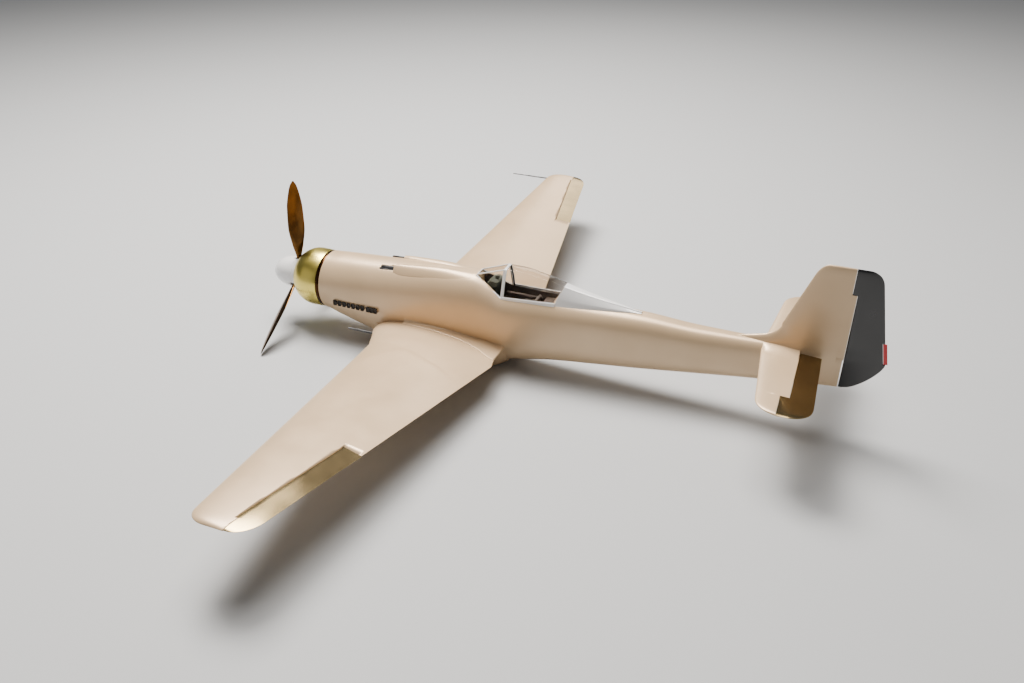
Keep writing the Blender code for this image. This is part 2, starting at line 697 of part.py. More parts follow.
def build_wing_fittings(wing_parts, centre):
    """Spar tubes, aileron servos and the bolts that hold the wing, each with its hole or pocket."""
    tube, hole = spar(0.0040), spar(0.0043, 0.0006)
    low, high = (Vector(corner) for corner in AILERON_SERVO)
    gap = Vector((0.0004, 0.0004, 0.0004))
    opening = Vector((0, 0, 0.05))  # how far pockets and bores run on below the skin
    pocket = block(low - gap - opening, high + gap)
    case = block(low, high, 0.0006)
    bores = []
    for side, name in SIDES:
        here = {"tube": tube, "hole": hole, "pocket": pocket, "case": case}
        if side < 0:
            here = {key: mirrored(bm) for key, bm in here.items()}
        hole_cut = cutter(f"spar_hole_{name}", here["hole"])
        pocket_cut = cutter(f"servo_pocket_{name}", here["pocket"])
        boolean(wing_parts[side], hole_cut)
        boolean(centre, hole_cut)
        boolean(wing_parts[side], pocket_cut)
        add(f"wing_spar_{name}", here["tube"], "carbon")
        add(f"aileron_servo_{name}", here["case"], "servo_blue")
        bottom = Vector((BOLT_X, side * BOLT_Y, -0.0900))
        top = Vector((BOLT_X, side * BOLT_Y, -0.0200))
        bores.append(cutter(f"bolt_bore_{name}", rod(bottom - opening, top, 0.0033, 10)))
        boolean(centre, bores[-1])
        add(f"wing_bolt_{name}", rod(bottom, top, 0.0030, 10), "nylon")
    plate = block((0.4900, -0.0330, -0.0290), (0.5200, 0.0330, BOLT_PLATE_Z))
    add("wing_bolt_plate", plate, "plywood", cutters=bores)


# ---------------------------------------------------------------- propeller and motor
def blade(angle):
    """One twisted propeller blade, its root in the hub, at an angle round the shaft."""
    # radius, chord, thickness, pitch angle, sweep aft
    ribs = [
        (0.0125, 0.0090, 0.0060, 62, 0.0000),
        (0.0330, 0.0100, 0.0052, 60, 0.0000),
        (0.0600, 0.0210, 0.0044, 53, 0.0010),
        (0.1000, 0.0320, 0.0034, 52, 0.0025),
        (0.1400, 0.0300, 0.0026, 51, 0.0040),
        (0.1700, 0.0210, 0.0020, 50, 0.0055),
        (BLADE_RADIUS, 0.0060, 0.0010, 49, 0.0070),
    ]
    sides = 8
    rings = []
    for radius, chord, thick, pitch, sweep in ribs:
        twist = math.radians(pitch)
        ring = []
        for k in range(sides):
            turn = 2 * math.pi * k / sides
            along, across = 0.5 * chord * math.cos(turn), 0.5 * thick * math.sin(turn)
            ring.append(Vector((
                BLADE_X + sweep + along * math.sin(twist) + across * math.cos(twist),
                along * math.cos(twist) - across * math.sin(twist),
                radius)))
        rings.append(ring)
    return about_shaft(loft(rings), angle)


def about_shaft(bm, angle):
    """Turn a body about the shaft, by an angle in degrees."""
    turn = Matrix.Rotation(math.radians(angle), 3, "X")
    bmesh.ops.rotate(bm, cent=(0, 0, 0), matrix=turn, verts=bm.verts)
    return bm


SPINNER_BASE_X, SPINNER_RADIUS = 0.0670, 0.0330


def spinner_shell():
    """The profile of a blunt hollow dome, open at the back."""
    wall, dome_length, least_radius = 0.0018, 0.042, 0.0004
    outer = []
    for k in range(8):
        turn = math.radians(90 * k / 7)
        radius = SPINNER_RADIUS * 0.955 * math.sin(turn)
        outer.append((dome_length * (1 - math.cos(turn)), max(radius, least_radius)))
    inner = [(x + wall, max(r - wall, least_radius)) for x, r in outer]
    outer.append((SPINNER_BASE_X, SPINNER_RADIUS))
    inner.append((SPINNER_BASE_X, SPINNER_RADIUS - wall))
    return outer + inner[::-1]


def build_propulsion():
    """The spinner, hub and three blades on their shaft, with the motor, its mount and the firewall."""
    slots = []
    for k in range(BLADES):
        slot = block((BLADE_X - 0.0072, -0.0066, 0.015), (SPINNER_BASE_X + 0.01, 0.0066, 0.045))
        slots.append(cutter(f"blade_slot_{k + 1}", about_shaft(slot, 360 / BLADES * k)))
    add("spinner", turned(spinner_shell()), "white_pearl", cutters=slots)
    hub = [
        (0.0510, 0.0036), (0.0510, 0.0115), (0.0640, 0.0120), (0.0662, 0.0300), (0.0690, 0.0300),
        (0.0690, 0.0036),
    ]
    add("prop_hub", turned(hub), "black_plastic")
    for k in range(BLADES):
        add(f"prop_blade_{k + 1}", blade(360 / BLADES * k), "copper")
    add("prop_shaft", rod((0.0420, 0, 0), (0.1450, 0, 0), 0.0030, 12), "steel")
    bell = [
        (0.0860, 0.0034), (0.0860, 0.0150), (0.0900, 0.0205), (0.1180, 0.0210), (0.1180, 0.0185),
        (0.0925, 0.0180), (0.0900, 0.0034),
    ]
    add("motor_bell", turned(bell), "gunmetal")
    stator = [
        (0.0950, 0.0050), (0.0950, 0.0172), (0.1160, 0.0172), (0.1190, 0.0120), (0.1220, 0.0200),
        (0.1270, 0.0200), (0.1270, 0.0050),
    ]
    add("motor_stator", turned(stator), "steel")
    mount = [
        (0.1275, 0.0080), (0.1275, 0.0260), (0.1310, 0.0260), (0.1310, 0.0180), (0.1700, 0.0180),
        (0.1700, 0.0300), (0.1730, 0.0300), (0.1730, 0.0080),
    ]
    add("motor_mount", turned(mount, 16), "gunmetal")
    firewall = [(0.1735, 0.0060), (0.1735, 0.0490), (0.1775, 0.0490), (0.1775, 0.0060)]
    add("firewall", turned(firewall), "plywood")


# station, radius
COWL = [
    (0.0650, 0.0362), (0.0670, 0.0405), (0.0730, 0.0468), (0.0810, 0.0522), (0.0905, 0.0562),
    (0.1010, 0.0577), (0.1266, 0.0568), (0.1266, 0.0535), (0.1020, 0.0540), (0.0920, 0.0522),
    (0.0830, 0.0482), (0.0750, 0.0430), (0.0685, 0.0366),
]
BAND = [
    (0.1270, 0.0556), (0.1282, 0.0564), (0.1328, 0.0564), (0.1340, 0.0556), (0.1340, 0.0530),
    (0.1270, 0.0530),
]


# ---------------------------------------------------------------- canopy
HOOP_X = 0.508
# station, base half width, base height, top half width, top height
HOOD = [
    (HOOP_X + 0.002, 0.0307, 0.0442, 0.0137, 0.0945),
    (0.540, 0.0292, 0.0452, 0.0130, 0.0945),
    (0.575, 0.0272, 0.0465, 0.0118, 0.0895),
    (0.607, 0.0252, 0.0480, 0.0104, 0.0828),
    (0.622, 0.0240, 0.0487, 0.0096, 0.0790),
    (0.670, 0.0195, 0.0505, 0.0075, 0.0690),
    (0.720, 0.0130, 0.0520, 0.0045, 0.0600),
    (0.765, 0.0050, 0.0522, 0.0015, 0.0530),
]
WINDSCREEN = [
    (0.4530, 0.0140, 0.0680, 0.0110, 0.0757),
    (HOOP_X, 0.0307, 0.0440, 0.0137, 0.0945),
]
HOOD_GLASS_END = 0.6060
RAIL_HEIGHT = 0.0035


def hood_ring(rows, x, inset, lift, bulge):
    """One side of a rib of the hood, from its foot to near the middle of its top."""
    base_y, base_z, top_y, top_z = (table(rows, x, k) for k in (1, 2, 3, 4))
    base_y, top_y, top_z = base_y - inset, max(top_y - inset * 0.6, 0.0006), top_z - inset
    base_z += lift
    points = []
    for k in range(5):
        t = k / 4
        y = base_y + (top_y - base_y) * t + bulge * math.sin(math.pi * t) * (base_y - top_y)
        points.append((y, base_z + (top_z - base_z) * t))
    points.append((0.55 * top_y, top_z + bulge * 0.012))
    return points


def tunnel(rows, stations, wall, lift=0.0, bulge=0.10):
    """A hood open at the bottom and at both ends, wall thick."""
    rings = []
    for x in stations:
        outer = hood_ring(rows, x, 0.0, lift, bulge)
        inner = hood_ring(rows, x, wall, lift, bulge)
        ring = [Vector((x, y, z)) for y, z in outer] + [Vector((x, -y, z)) for y, z in reversed(outer)]
        ring += [Vector((x, -y, z)) for y, z in inner] + [Vector((x, y, z)) for y, z in reversed(inner)]
        rings.append(ring)
    return loft(rings)


def canopy_rail(side, low, high, out, inside):
    """A rail along the foot of the sliding hood."""
    rings = []
    for x in (HOOP_X + 0.0024, 0.540, 0.575, HOOD_GLASS_END):
        y, z = table(HOOD, x, 1), table(HOOD, x, 2)
        rings.append([Vector((x, side * (y + across), z + up))
                      for across, up in ((out, low), (out, high), (-inside, high), (-inside, low))])
    return loft(rings)


def build_canopy(envelope):
    """The fixed windscreen, and the sliding hood with its frame, glass and tail fairing."""
    glass = tunnel(WINDSCREEN, (0.4560, 0.4800, HOOP_X - 0.0018), 0.0013, -0.003, 0.0)
    add("windscreen_glass", glass, "clear", cutters=[envelope])
    hoop = tunnel(WINDSCREEN, (HOOP_X - 0.0014, HOOP_X + 0.0016), 0.0024, -0.003, 0.0)
    add("windscreen_frame", hoop, "white_pearl", cutters=[envelope])
    glass_stations = (HOOP_X + 0.0054, 0.540, 0.575, HOOD_GLASS_END)
    add("canopy_glass", tunnel(HOOD, glass_stations, 0.0012, RAIL_HEIGHT), "clear")
    hoop = tunnel(HOOD, (HOOP_X + 0.0022, HOOP_X + 0.0050), 0.0022)
    frame = add("canopy_frame", hoop, "white_pearl")
    for side, name in SIDES:
        rail = canopy_rail(side, -0.006, RAIL_HEIGHT - GAP, 0.0004, 0.0020)
        boolean(frame, cutter(f"canopy_rail_{name}", rail), "UNION")
    boolean(frame, envelope)
    fairing = tunnel(HOOD, (HOOD_GLASS_END + 0.0004, 0.622, 0.670, 0.720, 0.762), 0.0014, -0.006)
    add("canopy_fairing", fairing, "white_pearl", cutters=[envelope])


# ---------------------------------------------------------------- assembly
def clear_scene():
    """Remove the objects of an empty file."""
    for obj in list(bpy.data.objects):
        bpy.data.objects.remove(obj)


def build_fuselage():
    """The two halves of the body with their openings, and the cowl in front."""
    wide = 0.2
    tail_axis = Vector((ELEVATOR_AXIS_X, 0, TAIL_Z))
    across = Vector((0, 0.05, 0))
    openings = [
        cutter("cockpit_opening", block((0.4700, -0.0235, 0.0200), (0.6000, 0.0235, wide))),
        cutter("wing_saddle", block((CENTRE_FRONT, -wide, -wide), (CENTRE_BACK, wide, SADDLE_Z))),
        cutter("elevator_hole", rod(tail_axis - across, tail_axis + across, 0.0040)),
    ]
    for side, name in SIDES:
        add(f"fuselage_{name}", body_shell(side), "pearl_skin", cutters=openings)
    add("cowl_ring", turned(COWL, 32), "gold")
    add("cowl_band", turned(BAND, 32), "copper")


def build_wing():
    """The wing's centre and panels, the ailerons and the fittings inside."""
    centre = add("wing_centre", wing_centre(), "pearl_skin")
    pivot = aileron_axis(AILERON_INNER_Y)
    panel, aileron = wing_panel(), aileron_panel()
    bays = {side: cutter(f"aileron_bay_{name}", aileron_bay(side)) for side, name in SIDES}
    panels = {
        -1: add("wing_left", mirrored(panel), "pearl_skin", cutters=[bays[-1]]),
        1: add("wing_right", panel, "pearl_skin", cutters=[bays[1]]),
    }
    add("aileron_left", mirrored(aileron), "gold", pivot=pivot * Vector((1, -1, 1)))
    add("aileron_right", aileron, "gold", pivot=pivot)
    build_wing_fittings(panels, centre)


def build_tail(envelope):
    """The fin and rudder with its tab, and the tailplane with its joined elevators."""
    add("fin", fin_panel(), "pearl_skin", cutters=[envelope])
    rudder_axis = (RUDDER_AXIS_X, 0, TAIL_Z)
    add("rudder", rudder_panel(), "charcoal", pivot=rudder_axis, cutters=[cutter("tab_bay", tab_bay())])
    add("rudder_tab", tab_panel(), "red_tab", pivot=rudder_axis)
    stabilizer, elevator = stabilizer_panel(0.0150), elevator_panel(0.0120)
    tail_axis = Vector((ELEVATOR_AXIS_X, 0, TAIL_Z))
    add("stabilizer_left", mirrored(stabilizer), "pearl_skin", cutters=[envelope])
    add("stabilizer_right", stabilizer, "pearl_skin", cutters=[envelope])
    add("elevator_left", mirrored(elevator), "gold", pivot=tail_axis)
    add("elevator_right", elevator, "gold", pivot=tail_axis)
    across = Vector((0, 0.0116, 0))
    joiner = rod(tail_axis - across, tail_axis + across, 0.0020)
    add("elevator_joiner", joiner, "steel", pivot=tail_axis)


clear_scene()
skin_envelope = cutter("body_envelope", body_envelope(GAP))
build_fuselage()
build_wing()
build_tail(skin_envelope)
build_canopy(skin_envelope)
build_armament(skin_envelope)
build_cockpit()
build_radio_gear()
build_propulsion()
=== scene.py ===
"""The look of the radio controlled warbird: smooth skins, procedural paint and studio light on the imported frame.

Stations are measured aft from the spinner's tip (x), to starboard (y) and up from the thrust line (z), in metres.
"""

import math

import bmesh
import bpy
from mathutils import Matrix, Vector


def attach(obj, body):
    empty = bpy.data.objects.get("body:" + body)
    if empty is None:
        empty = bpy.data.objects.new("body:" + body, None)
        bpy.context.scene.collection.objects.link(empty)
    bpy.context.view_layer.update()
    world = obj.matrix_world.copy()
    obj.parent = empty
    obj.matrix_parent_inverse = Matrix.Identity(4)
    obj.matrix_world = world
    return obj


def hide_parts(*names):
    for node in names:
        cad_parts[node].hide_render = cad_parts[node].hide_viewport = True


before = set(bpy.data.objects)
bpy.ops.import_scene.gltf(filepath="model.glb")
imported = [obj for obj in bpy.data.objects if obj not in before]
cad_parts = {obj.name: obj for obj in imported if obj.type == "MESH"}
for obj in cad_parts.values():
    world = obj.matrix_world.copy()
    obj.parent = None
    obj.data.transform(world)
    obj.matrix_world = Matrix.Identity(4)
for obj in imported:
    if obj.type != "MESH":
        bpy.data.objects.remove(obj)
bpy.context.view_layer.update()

LENGTH = 1.1682
BELLY = 0.102
DATUM = Vector((-LENGTH / 2, 0.0, BELLY))
HALF_SPAN = 0.700
AIRFRAME, PROPELLER, HOOD_BODY = "airframe", "propeller", "hood"
ELEVATOR_BODY, RUDDER_BODY = "elevator", "rudder_body"
SIDES = ((-1, "left"), (1, "right"))


# ---------------------------------------------------------------- curves and tables
def limited_slope(a, b, c, column):
    """Slope at b that never overshoots its neighbours."""
    left = (b[column] - a[column]) / (b[0] - a[0]) if b[0] > a[0] else 0.0
    right = (c[column] - b[column]) / (c[0] - b[0]) if c[0] > b[0] else 0.0
    if left * right <= 0:
        return 0.0
    return 2 * left * right / (left + right)


def table(rows, x, column=1):
    """Smooth interpolation of one column of a table whose first column rises."""
    if x <= rows[0][0]:
        return rows[0][column]
    for i in range(len(rows) - 1):
        a, b = rows[i], rows[i + 1]
        if x <= b[0]:
            span = b[0] - a[0]
            t = (x - a[0]) / span
            rise = b[column] - a[column]
            slope_a = limited_slope(rows[max(i - 1, 0)], a, b, column) * span
            slope_b = limited_slope(a, b, rows[min(i + 2, len(rows) - 1)], column) * span
            return (
                a[column]
                + t * slope_a
                + t * t * (3 * rise - 2 * slope_a - slope_b)
                + t ** 3 * (slope_a + slope_b - 2 * rise)
            )
    return rows[-1][column]


def straight(rows, x, column=1):
    """Straight-line interpolation of one column, carried on past both ends."""
    pairs = list(zip(rows, rows[1:]))
    for a, b in pairs:
        if x <= b[0] or (a, b) == pairs[-1]:
            return a[column] + (b[column] - a[column]) * (x - a[0]) / (b[0] - a[0])
    return rows[-1][column]


def spread(low, high, count, power=1.0):
    """count stations from low to high, closer together near low where power is over one."""
    return [low + (high - low) * (k / (count - 1)) ** power for k in range(count)]


def near_arc(a, corner, b, steps=16):
    """Points of a smooth curve from a to b that leaves and arrives towards the corner."""
    points = []
    for k in range(steps + 1):
        t = k / steps
        points.append(a * (1 - t) ** 2 + corner * 2 * t * (1 - t) + b * t * t)
    return points


def flowing(a, leave, arrive, b, steps=18):
    """Points of a smooth S-curve from a to b through its two handles."""
    points = []
    for k in range(steps + 1):
        t = k / steps
        u = 1 - t
        points.append(a * u ** 3 + leave * 3 * u * u * t + arrive * 3 * u * t * t + b * t ** 3)
    return points


def tip_drop(t, power=2.5):
    """How far a rounded tip's edge has fallen back, from 0 to 1, as t runs over the tip."""
    return 1 - math.sqrt(max(1 - max(t, 0.0) ** power, 0.0))


# ---------------------------------------------------------------- mesh helpers
def loft(rings, caps=True):
    """A body through rings of equally many points."""
    bm = bmesh.new()
    rows = [[bm.verts.new(point) for point in ring] for ring in rings]
    for near, far in zip(rows, rows[1:]):
        for i in range(len(near)):
            j = (i + 1) % len(near)
            bm.faces.new((near[i], near[j], far[j], far[i]))
    if caps:
        bm.faces.new(rows[0])
        bm.faces.new(rows[-1])
    return bm


def turned(profile, sides=96):
    """A body turned about the thrust line from a closed profile of (x, radius) points off the axis."""
    rings = []
    for k in range(sides):
        angle = 2 * math.pi * k / sides
        rings.append([Vector((x, r * math.sin(angle), r * math.cos(angle))) for x, r in profile])
    return loft(rings + [rings[0]], caps=False)


def smoothed(points, per_piece=6):
    """A closed outline rounded through its points."""
    count = len(points)
    out = []
    for i in range(count):
        a, b, c, d = (Vector(points[(i + k - 1) % count]) for k in range(4))
        for k in range(per_piece):
            t = k / per_piece
            out.append(0.5 * (2 * b + (c - a) * t + (2 * a - 5 * b + 4 * c - d) * t * t
                              + (3 * b - a - 3 * c + d) * t ** 3))
    return [tuple(p) for p in out]


def rod(points, radii, sides=24):
    """A round rod through points, with a radius at each."""
    points = [Vector(p) for p in points]
    along = (points[-1] - points[0]).normalized()
    across = along.orthogonal().normalized()
    other = along.cross(across)
    rings = []
    for centre, r in zip(points, radii):
        rings.append([
            centre + r * (math.cos(2 * math.pi * k / sides) * across + math.sin(2 * math.pi * k / sides) * other)
            for k in range(sides)
        ])
    return loft(rings)


def block(low, high, bevel):
    """A box between two corners with rounded edges."""
    bm = bmesh.new()
    low, high = Vector(low), Vector(high)
    bmesh.ops.create_cube(bm, size=1.0)
    bmesh.ops.scale(bm, vec=high - low, verts=bm.verts)
    bmesh.ops.translate(bm, vec=(low + high) / 2, verts=bm.verts)
    bmesh.ops.bevel(bm, geom=bm.edges[:], offset=bevel, segments=3, profile=0.6, affect="EDGES")
    return bm


def joined(*bodies):
    """Several bodies in one mesh."""
    whole = bmesh.new()
    for bm in bodies:
        mesh = bpy.data.meshes.new("joined")
        bm.to_mesh(mesh)
        bm.free()
        whole.from_mesh(mesh)
        bpy.data.meshes.remove(mesh)
    return whole


def mirrored(bm):
    """The same body on the other side of the middle."""
    copy = bm.copy()
    bmesh.ops.scale(copy, vec=(1, -1, 1), verts=copy.verts)
    return copy


def on_side(bm, side):
    return bm.copy() if side > 0 else mirrored(bm)


def make(name, bm, material, smooth=30):
    """One object in the row frame, from a mesh in stations."""
    bmesh.ops.remove_doubles(bm, verts=bm.verts, dist=1e-6)
    bmesh.ops.recalc_face_normals(bm, faces=bm.faces)
    bmesh.ops.translate(bm, vec=DATUM, verts=bm.verts)
    mesh = bpy.data.meshes.new(name)
    bm.to_mesh(mesh)
    bm.free()
    mesh.materials.append(material)
    mesh.shade_smooth()
    mesh.set_sharp_from_angle(angle=math.radians(smooth))
    obj = bpy.data.objects.new(name, mesh)
    bpy.context.scene.collection.objects.link(obj)
    return obj


def piece(name, bm, look, body, nodes=(), smooth=30, cutters=()):
    """A shown piece that rides a body, stands for CAD nodes and takes the named paint."""
    obj = make(name, bm, PAINT[look], smooth)
    for tool in cutters:
        cut = obj.modifiers.new("cut", "BOOLEAN")
        cut.object = tool
        cut.solver = "EXACT"
    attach(obj, body)
    if nodes:
        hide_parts(*nodes)
    return obj


def hidden(name, bm, look="pearl_skin"):
    """A helper that other pieces are cut with."""
    obj = make(name, bm, PAINT[look])
    obj.hide_render = True
    obj.hide_viewport = True
    obj.display_type = "WIRE"
    return obj


# ---------------------------------------------------------------- paint
def shader_of(name, colour, roughness, metallic=0.0, coat=0.0, **sockets):
    material = bpy.data.materials.new(name)
    material.use_nodes = True
    shader = material.node_tree.nodes["Principled BSDF"]
    shader.inputs["Base Color"].default_value = (*colour, 1.0)
    shader.inputs["Roughness"].default_value = roughness
    shader.inputs["Metallic"].default_value = metallic
    shader.inputs["Coat Weight"].default_value = coat
    for socket, value in sockets.items():
        shader.inputs[socket.replace("_", " ")].default_value = value
    return material, shader


def noise_on(material, scale, detail=4.0, stretch=(1, 1, 1)):
    """A noise texture in the object's own coordinates."""
    nodes, links = material.node_tree.nodes, material.node_tree.links
    place = nodes.new("ShaderNodeTexCoord")
    mapping = nodes.new("ShaderNodeMapping")
    mapping.inputs["Scale"].default_value = stretch
    noise = nodes.new("ShaderNodeTexNoise")
    noise.inputs["Scale"].default_value = scale
    noise.inputs["Detail"].default_value = detail
    links.new(place.outputs["Object"], mapping.inputs["Vector"])
    links.new(mapping.outputs["Vector"], noise.inputs["Vector"])
    return noise


def ramped(material, noise, low, high, start=0.35, end=0.65):
    """A colour ramp over a noise, from low to high."""
    nodes, links = material.node_tree.nodes, material.node_tree.links
    ramp = nodes.new("ShaderNodeValToRGB")
    ramp.color_ramp.elements[0].position = start
    ramp.color_ramp.elements[0].color = (*low, 1.0)
    ramp.color_ramp.elements[1].position = end
    ramp.color_ramp.elements[1].color = (*high, 1.0)
    links.new(noise.outputs["Fac"], ramp.inputs["Fac"])
    return ramp.outputs["Color"]


def spread_value(material, noise, low, high):
    """A noise mapped to a range of values."""
    nodes, links = material.node_tree.nodes, material.node_tree.links
    span = nodes.new("ShaderNodeMapRange")
    span.inputs["From Min"].default_value = 0.3
    span.inputs["From Max"].default_value = 0.7
    span.inputs["To Min"].default_value = low
    span.inputs["To Max"].default_value = high
    links.new(noise.outputs["Fac"], span.inputs["Value"])
    return span.outputs["Result"]


def bumped(material, shader, noise, strength, distance):
    nodes, links = material.node_tree.nodes, material.node_tree.links
    bump = nodes.new("ShaderNodeBump")
    bump.inputs["Strength"].default_value = strength
    bump.inputs["Distance"].default_value = distance
    links.new(noise.outputs["Fac"], bump.inputs["Height"])
    links.new(bump.outputs["Normal"], shader.inputs["Normal"])


def finish_paint(name, low, high, rough_low, rough_high, metallic, coat=0.0, wear_scale=9.0, grain_scale=900.0,
                 grain=0.08, stretch=(1, 1, 1), start=0.35, end=0.65, **sockets):
    """Paint whose colour and roughness drift over the surface and whose grain catches the light."""
    material, shader = shader_of(name, high, rough_low, metallic, coat, **sockets)
    links = material.node_tree.links
    wear = noise_on(material, wear_scale, 5.0, stretch)
    links.new(ramped(material, wear, low, high, start, end), shader.inputs["Base Color"])
    links.new(spread_value(material, noise_on(material, wear_scale * 2.3, 3.0, stretch), rough_low, rough_high),
              shader.inputs["Roughness"])
    bumped(material, shader, noise_on(material, grain_scale, 2.0), grain, 0.0004)
    return material


def build_paints():
    return {
        "pearl_skin": finish_paint("pearl_skin", (0.66, 0.475, 0.29), (0.72, 0.525, 0.33), 0.30, 0.38, 0.25,
                                   coat=0.10, grain=0.05, grain_scale=700.0, Coat_Roughness=0.14),
        "gold": finish_paint("gold", (0.74, 0.60, 0.14), (0.86, 0.72, 0.22), 0.24, 0.34, 1.0, grain=0.01),
        "satin_gold": finish_paint("satin_gold", (0.27, 0.20, 0.10), (0.38, 0.285, 0.145), 0.16, 0.22, 1.0,
                                   grain=0.01),
        "copper": finish_paint("copper", (0.060, 0.030, 0.010), (0.19, 0.092, 0.026), 0.12, 0.24, 1.0, wear_scale=38.0,
                               grain=0.01, stretch=(1, 1, 0.6), start=0.30, end=0.70),
        "dark_copper": finish_paint("dark_copper", (0.045, 0.018, 0.006), (0.10, 0.042, 0.014), 0.18, 0.28, 1.0,
                                    grain=0.01),
        "white_pearl": finish_paint("white_pearl", (0.90, 0.90, 0.91), (0.95, 0.95, 0.96), 0.14, 0.20, 0.05,
                                    coat=0.8, grain=0.02, Coat_Roughness=0.05),
        "charcoal": finish_paint("charcoal", (0.010, 0.010, 0.011), (0.020, 0.020, 0.022), 0.12, 0.20, 0.0,
                                 coat=0.4, grain=0.01, wear_scale=14.0),
        "red_tab": finish_paint("red_tab", (0.62, 0.010, 0.018), (0.78, 0.018, 0.028), 0.28, 0.40, 0.0, coat=0.3),
        "clear": shader_of("clear", (0.82, 0.80, 0.78), 0.03, Transmission_Weight=1.0, IOR=1.12)[0],
        "cockpit_dark": finish_paint("cockpit_dark", (0.10, 0.075, 0.060), (0.15, 0.115, 0.095), 0.55, 0.8, 0.0,
                                     wear_scale=30.0, grain=0.2),
        "panel_green": finish_paint("panel_green", (0.11, 0.125, 0.095), (0.16, 0.175, 0.135), 0.45, 0.6, 0.0,
                                    wear_scale=40.0, grain=0.15),
        "steel": finish_paint("steel", (0.42, 0.42, 0.44), (0.62, 0.62, 0.64), 0.2, 0.36, 1.0, wear_scale=60.0,
                              stretch=(8, 1, 1), grain=0.03),
        "gunmetal": finish_paint("gunmetal", (0.06, 0.06, 0.062), (0.14, 0.14, 0.145), 0.3, 0.5, 0.9,
                                 wear_scale=50.0),
        "soot": finish_paint("soot", (0.018, 0.016, 0.015), (0.06, 0.05, 0.045), 0.5, 0.8, 0.3, wear_scale=80.0,
                             grain=0.3),
        "carbon": finish_paint("carbon", (0.02, 0.02, 0.022), (0.045, 0.045, 0.05), 0.3, 0.45, 0.0,
                               wear_scale=200.0, coat=0.3),
        "plywood": finish_paint("plywood", (0.50, 0.34, 0.19), (0.66, 0.49, 0.31), 0.6, 0.75, 0.0, wear_scale=40.0,
                                stretch=(1, 12, 12), grain=0.2),
        "nylon": finish_paint("nylon", (0.72, 0.70, 0.63), (0.82, 0.80, 0.74), 0.45, 0.6, 0.0),
        "servo_blue": finish_paint("servo_blue", (0.03, 0.09, 0.30), (0.05, 0.13, 0.38), 0.3, 0.45, 0.0),
        "battery_wrap": finish_paint("battery_wrap", (0.08, 0.18, 0.48), (0.11, 0.23, 0.56), 0.25, 0.4, 0.0,
                                     grain=0.15),
        "black_plastic": finish_paint("black_plastic", (0.018, 0.018, 0.018), (0.035, 0.035, 0.035), 0.35, 0.5, 0.0,
                                      grain=0.15),
    }


PAINT = build_paints()


# ---------------------------------------------------------------- fuselage
# station, half width, top, bottom, squareness
BODY = [
    (0.1345, 0.0562, 0.0578, -0.0580, 2.0),
    (0.165, 0.0564, 0.0600, -0.0690, 2.0),
    (0.200, 0.0562, 0.0620, -0.0800, 2.05),
    (0.245, 0.0552, 0.0645, -0.0925, 2.1),
    (0.300, 0.0538, 0.0680, -0.0990, 2.2),
    (0.400, 0.0505, 0.0745, -0.1000, 2.3),
    (0.450, 0.0482, 0.0742, -0.0990, 2.4),
    (0.480, 0.0468, 0.0650, -0.0975, 2.5),
    (0.512, 0.0455, 0.0525, -0.0925, 2.5),
    (0.600, 0.0412, 0.0520, -0.0750, 2.5),
    (0.700, 0.0358, 0.0520, -0.0625, 2.6),
    (0.760, 0.0325, 0.0515, -0.0558, 2.6),
    (0.870, 0.0262, 0.0460, -0.0412, 2.7),
    (0.970, 0.0205, 0.0460, -0.0283, 2.7),
    (1.050, 0.0130, 0.0440, -0.0210, 2.6),
    (1.100, 0.0068, 0.0440, -0.0168, 2.4),
]
BODY_FRONT, BODY_BACK = BODY[0][0], BODY[-1][0]


def body_point(x, angle, offset=0.0):
    """The skin at station x; angle runs from 90 at the top to -90 at the bottom."""
    width = table(BODY, x, 1) + offset
    square = 2.0 / table(BODY, x, 4)
    height = table(BODY, x, 2) if angle > 0 else -table(BODY, x, 3)
    c, s = math.cos(math.radians(angle)), math.sin(math.radians(angle))
    return width * max(c, 0.0) ** square, math.copysign(abs(s) ** square, s) * (height + offset)


def body_width_at(x, z):
    """Half width of the fuselage at station x and height z."""
    reach = table(BODY, x, 2) if z > 0 else -table(BODY, x, 3)
    square = table(BODY, x, 4)
    return table(BODY, x, 1) * max(1 - (abs(z) / reach) ** square, 0.0) ** (1 / square)


def body_top_at(x, y):
    """Height of the fuselage's upper skin at station x, y off the middle."""
    square = table(BODY, x, 4)
    return table(BODY, x, 2) * max(1 - (abs(y) / table(BODY, x, 1)) ** square, 0.0) ** (1 / square)


def fuselage_skin():
    count = 40
    angles = [90 - 180 * k / count for k in range(count + 1)]
    rings = []
    for x in spread(BODY_FRONT, BODY_BACK, 150):
        half = [body_point(x, a) for a in angles]
        ring = [Vector((x, y, z)) for y, z in half]
        ring += [Vector((x, -y, z)) for y, z in reversed(half[1:-1])]
        rings.append(ring)
    return loft(rings)


# ---------------------------------------------------------------- wing
ROOT_RIB_Y = 0.075
DIHEDRAL, WING_MIDDLE_Z, CAMBER = 0.1064, -0.0598, 0.012
WING_LE = [(0.030, 0.2610), (0.060, 0.2598), (0.075, 0.2615), (0.105, 0.2755), (0.140, 0.2895), (0.700, 0.3430)]
WING_TE = [(0.030, 0.5180), (0.093, 0.5196), (0.106, 0.5225), (0.1147, 0.5264), (0.700, 0.4354)]
WING_THICKNESS = [(0.030, 0.140), (0.075, 0.140), (0.400, 0.125), (0.640, 0.110), (0.700, 0.095)]
WING_TIP_START = 0.6550
LE_TIP_START = 0.6720
LE_TIP, TE_TIP = 0.0290, 0.0340
AILERON_INNER_Y, AILERON_OUTER_Y = 0.4677, 0.6985
AILERON_LINE_X, AILERON_SWEEP = 0.4368, -0.162
AILERON_AXIS_BACK = 0.0052
HINGE_GAP = 0.0004


def tip_share(y, start):
    """How far out a station is over the rounded tip, from 0 to 1."""
    return min(max((y - start) / (HALF_SPAN - start), 0.0), 1.0)


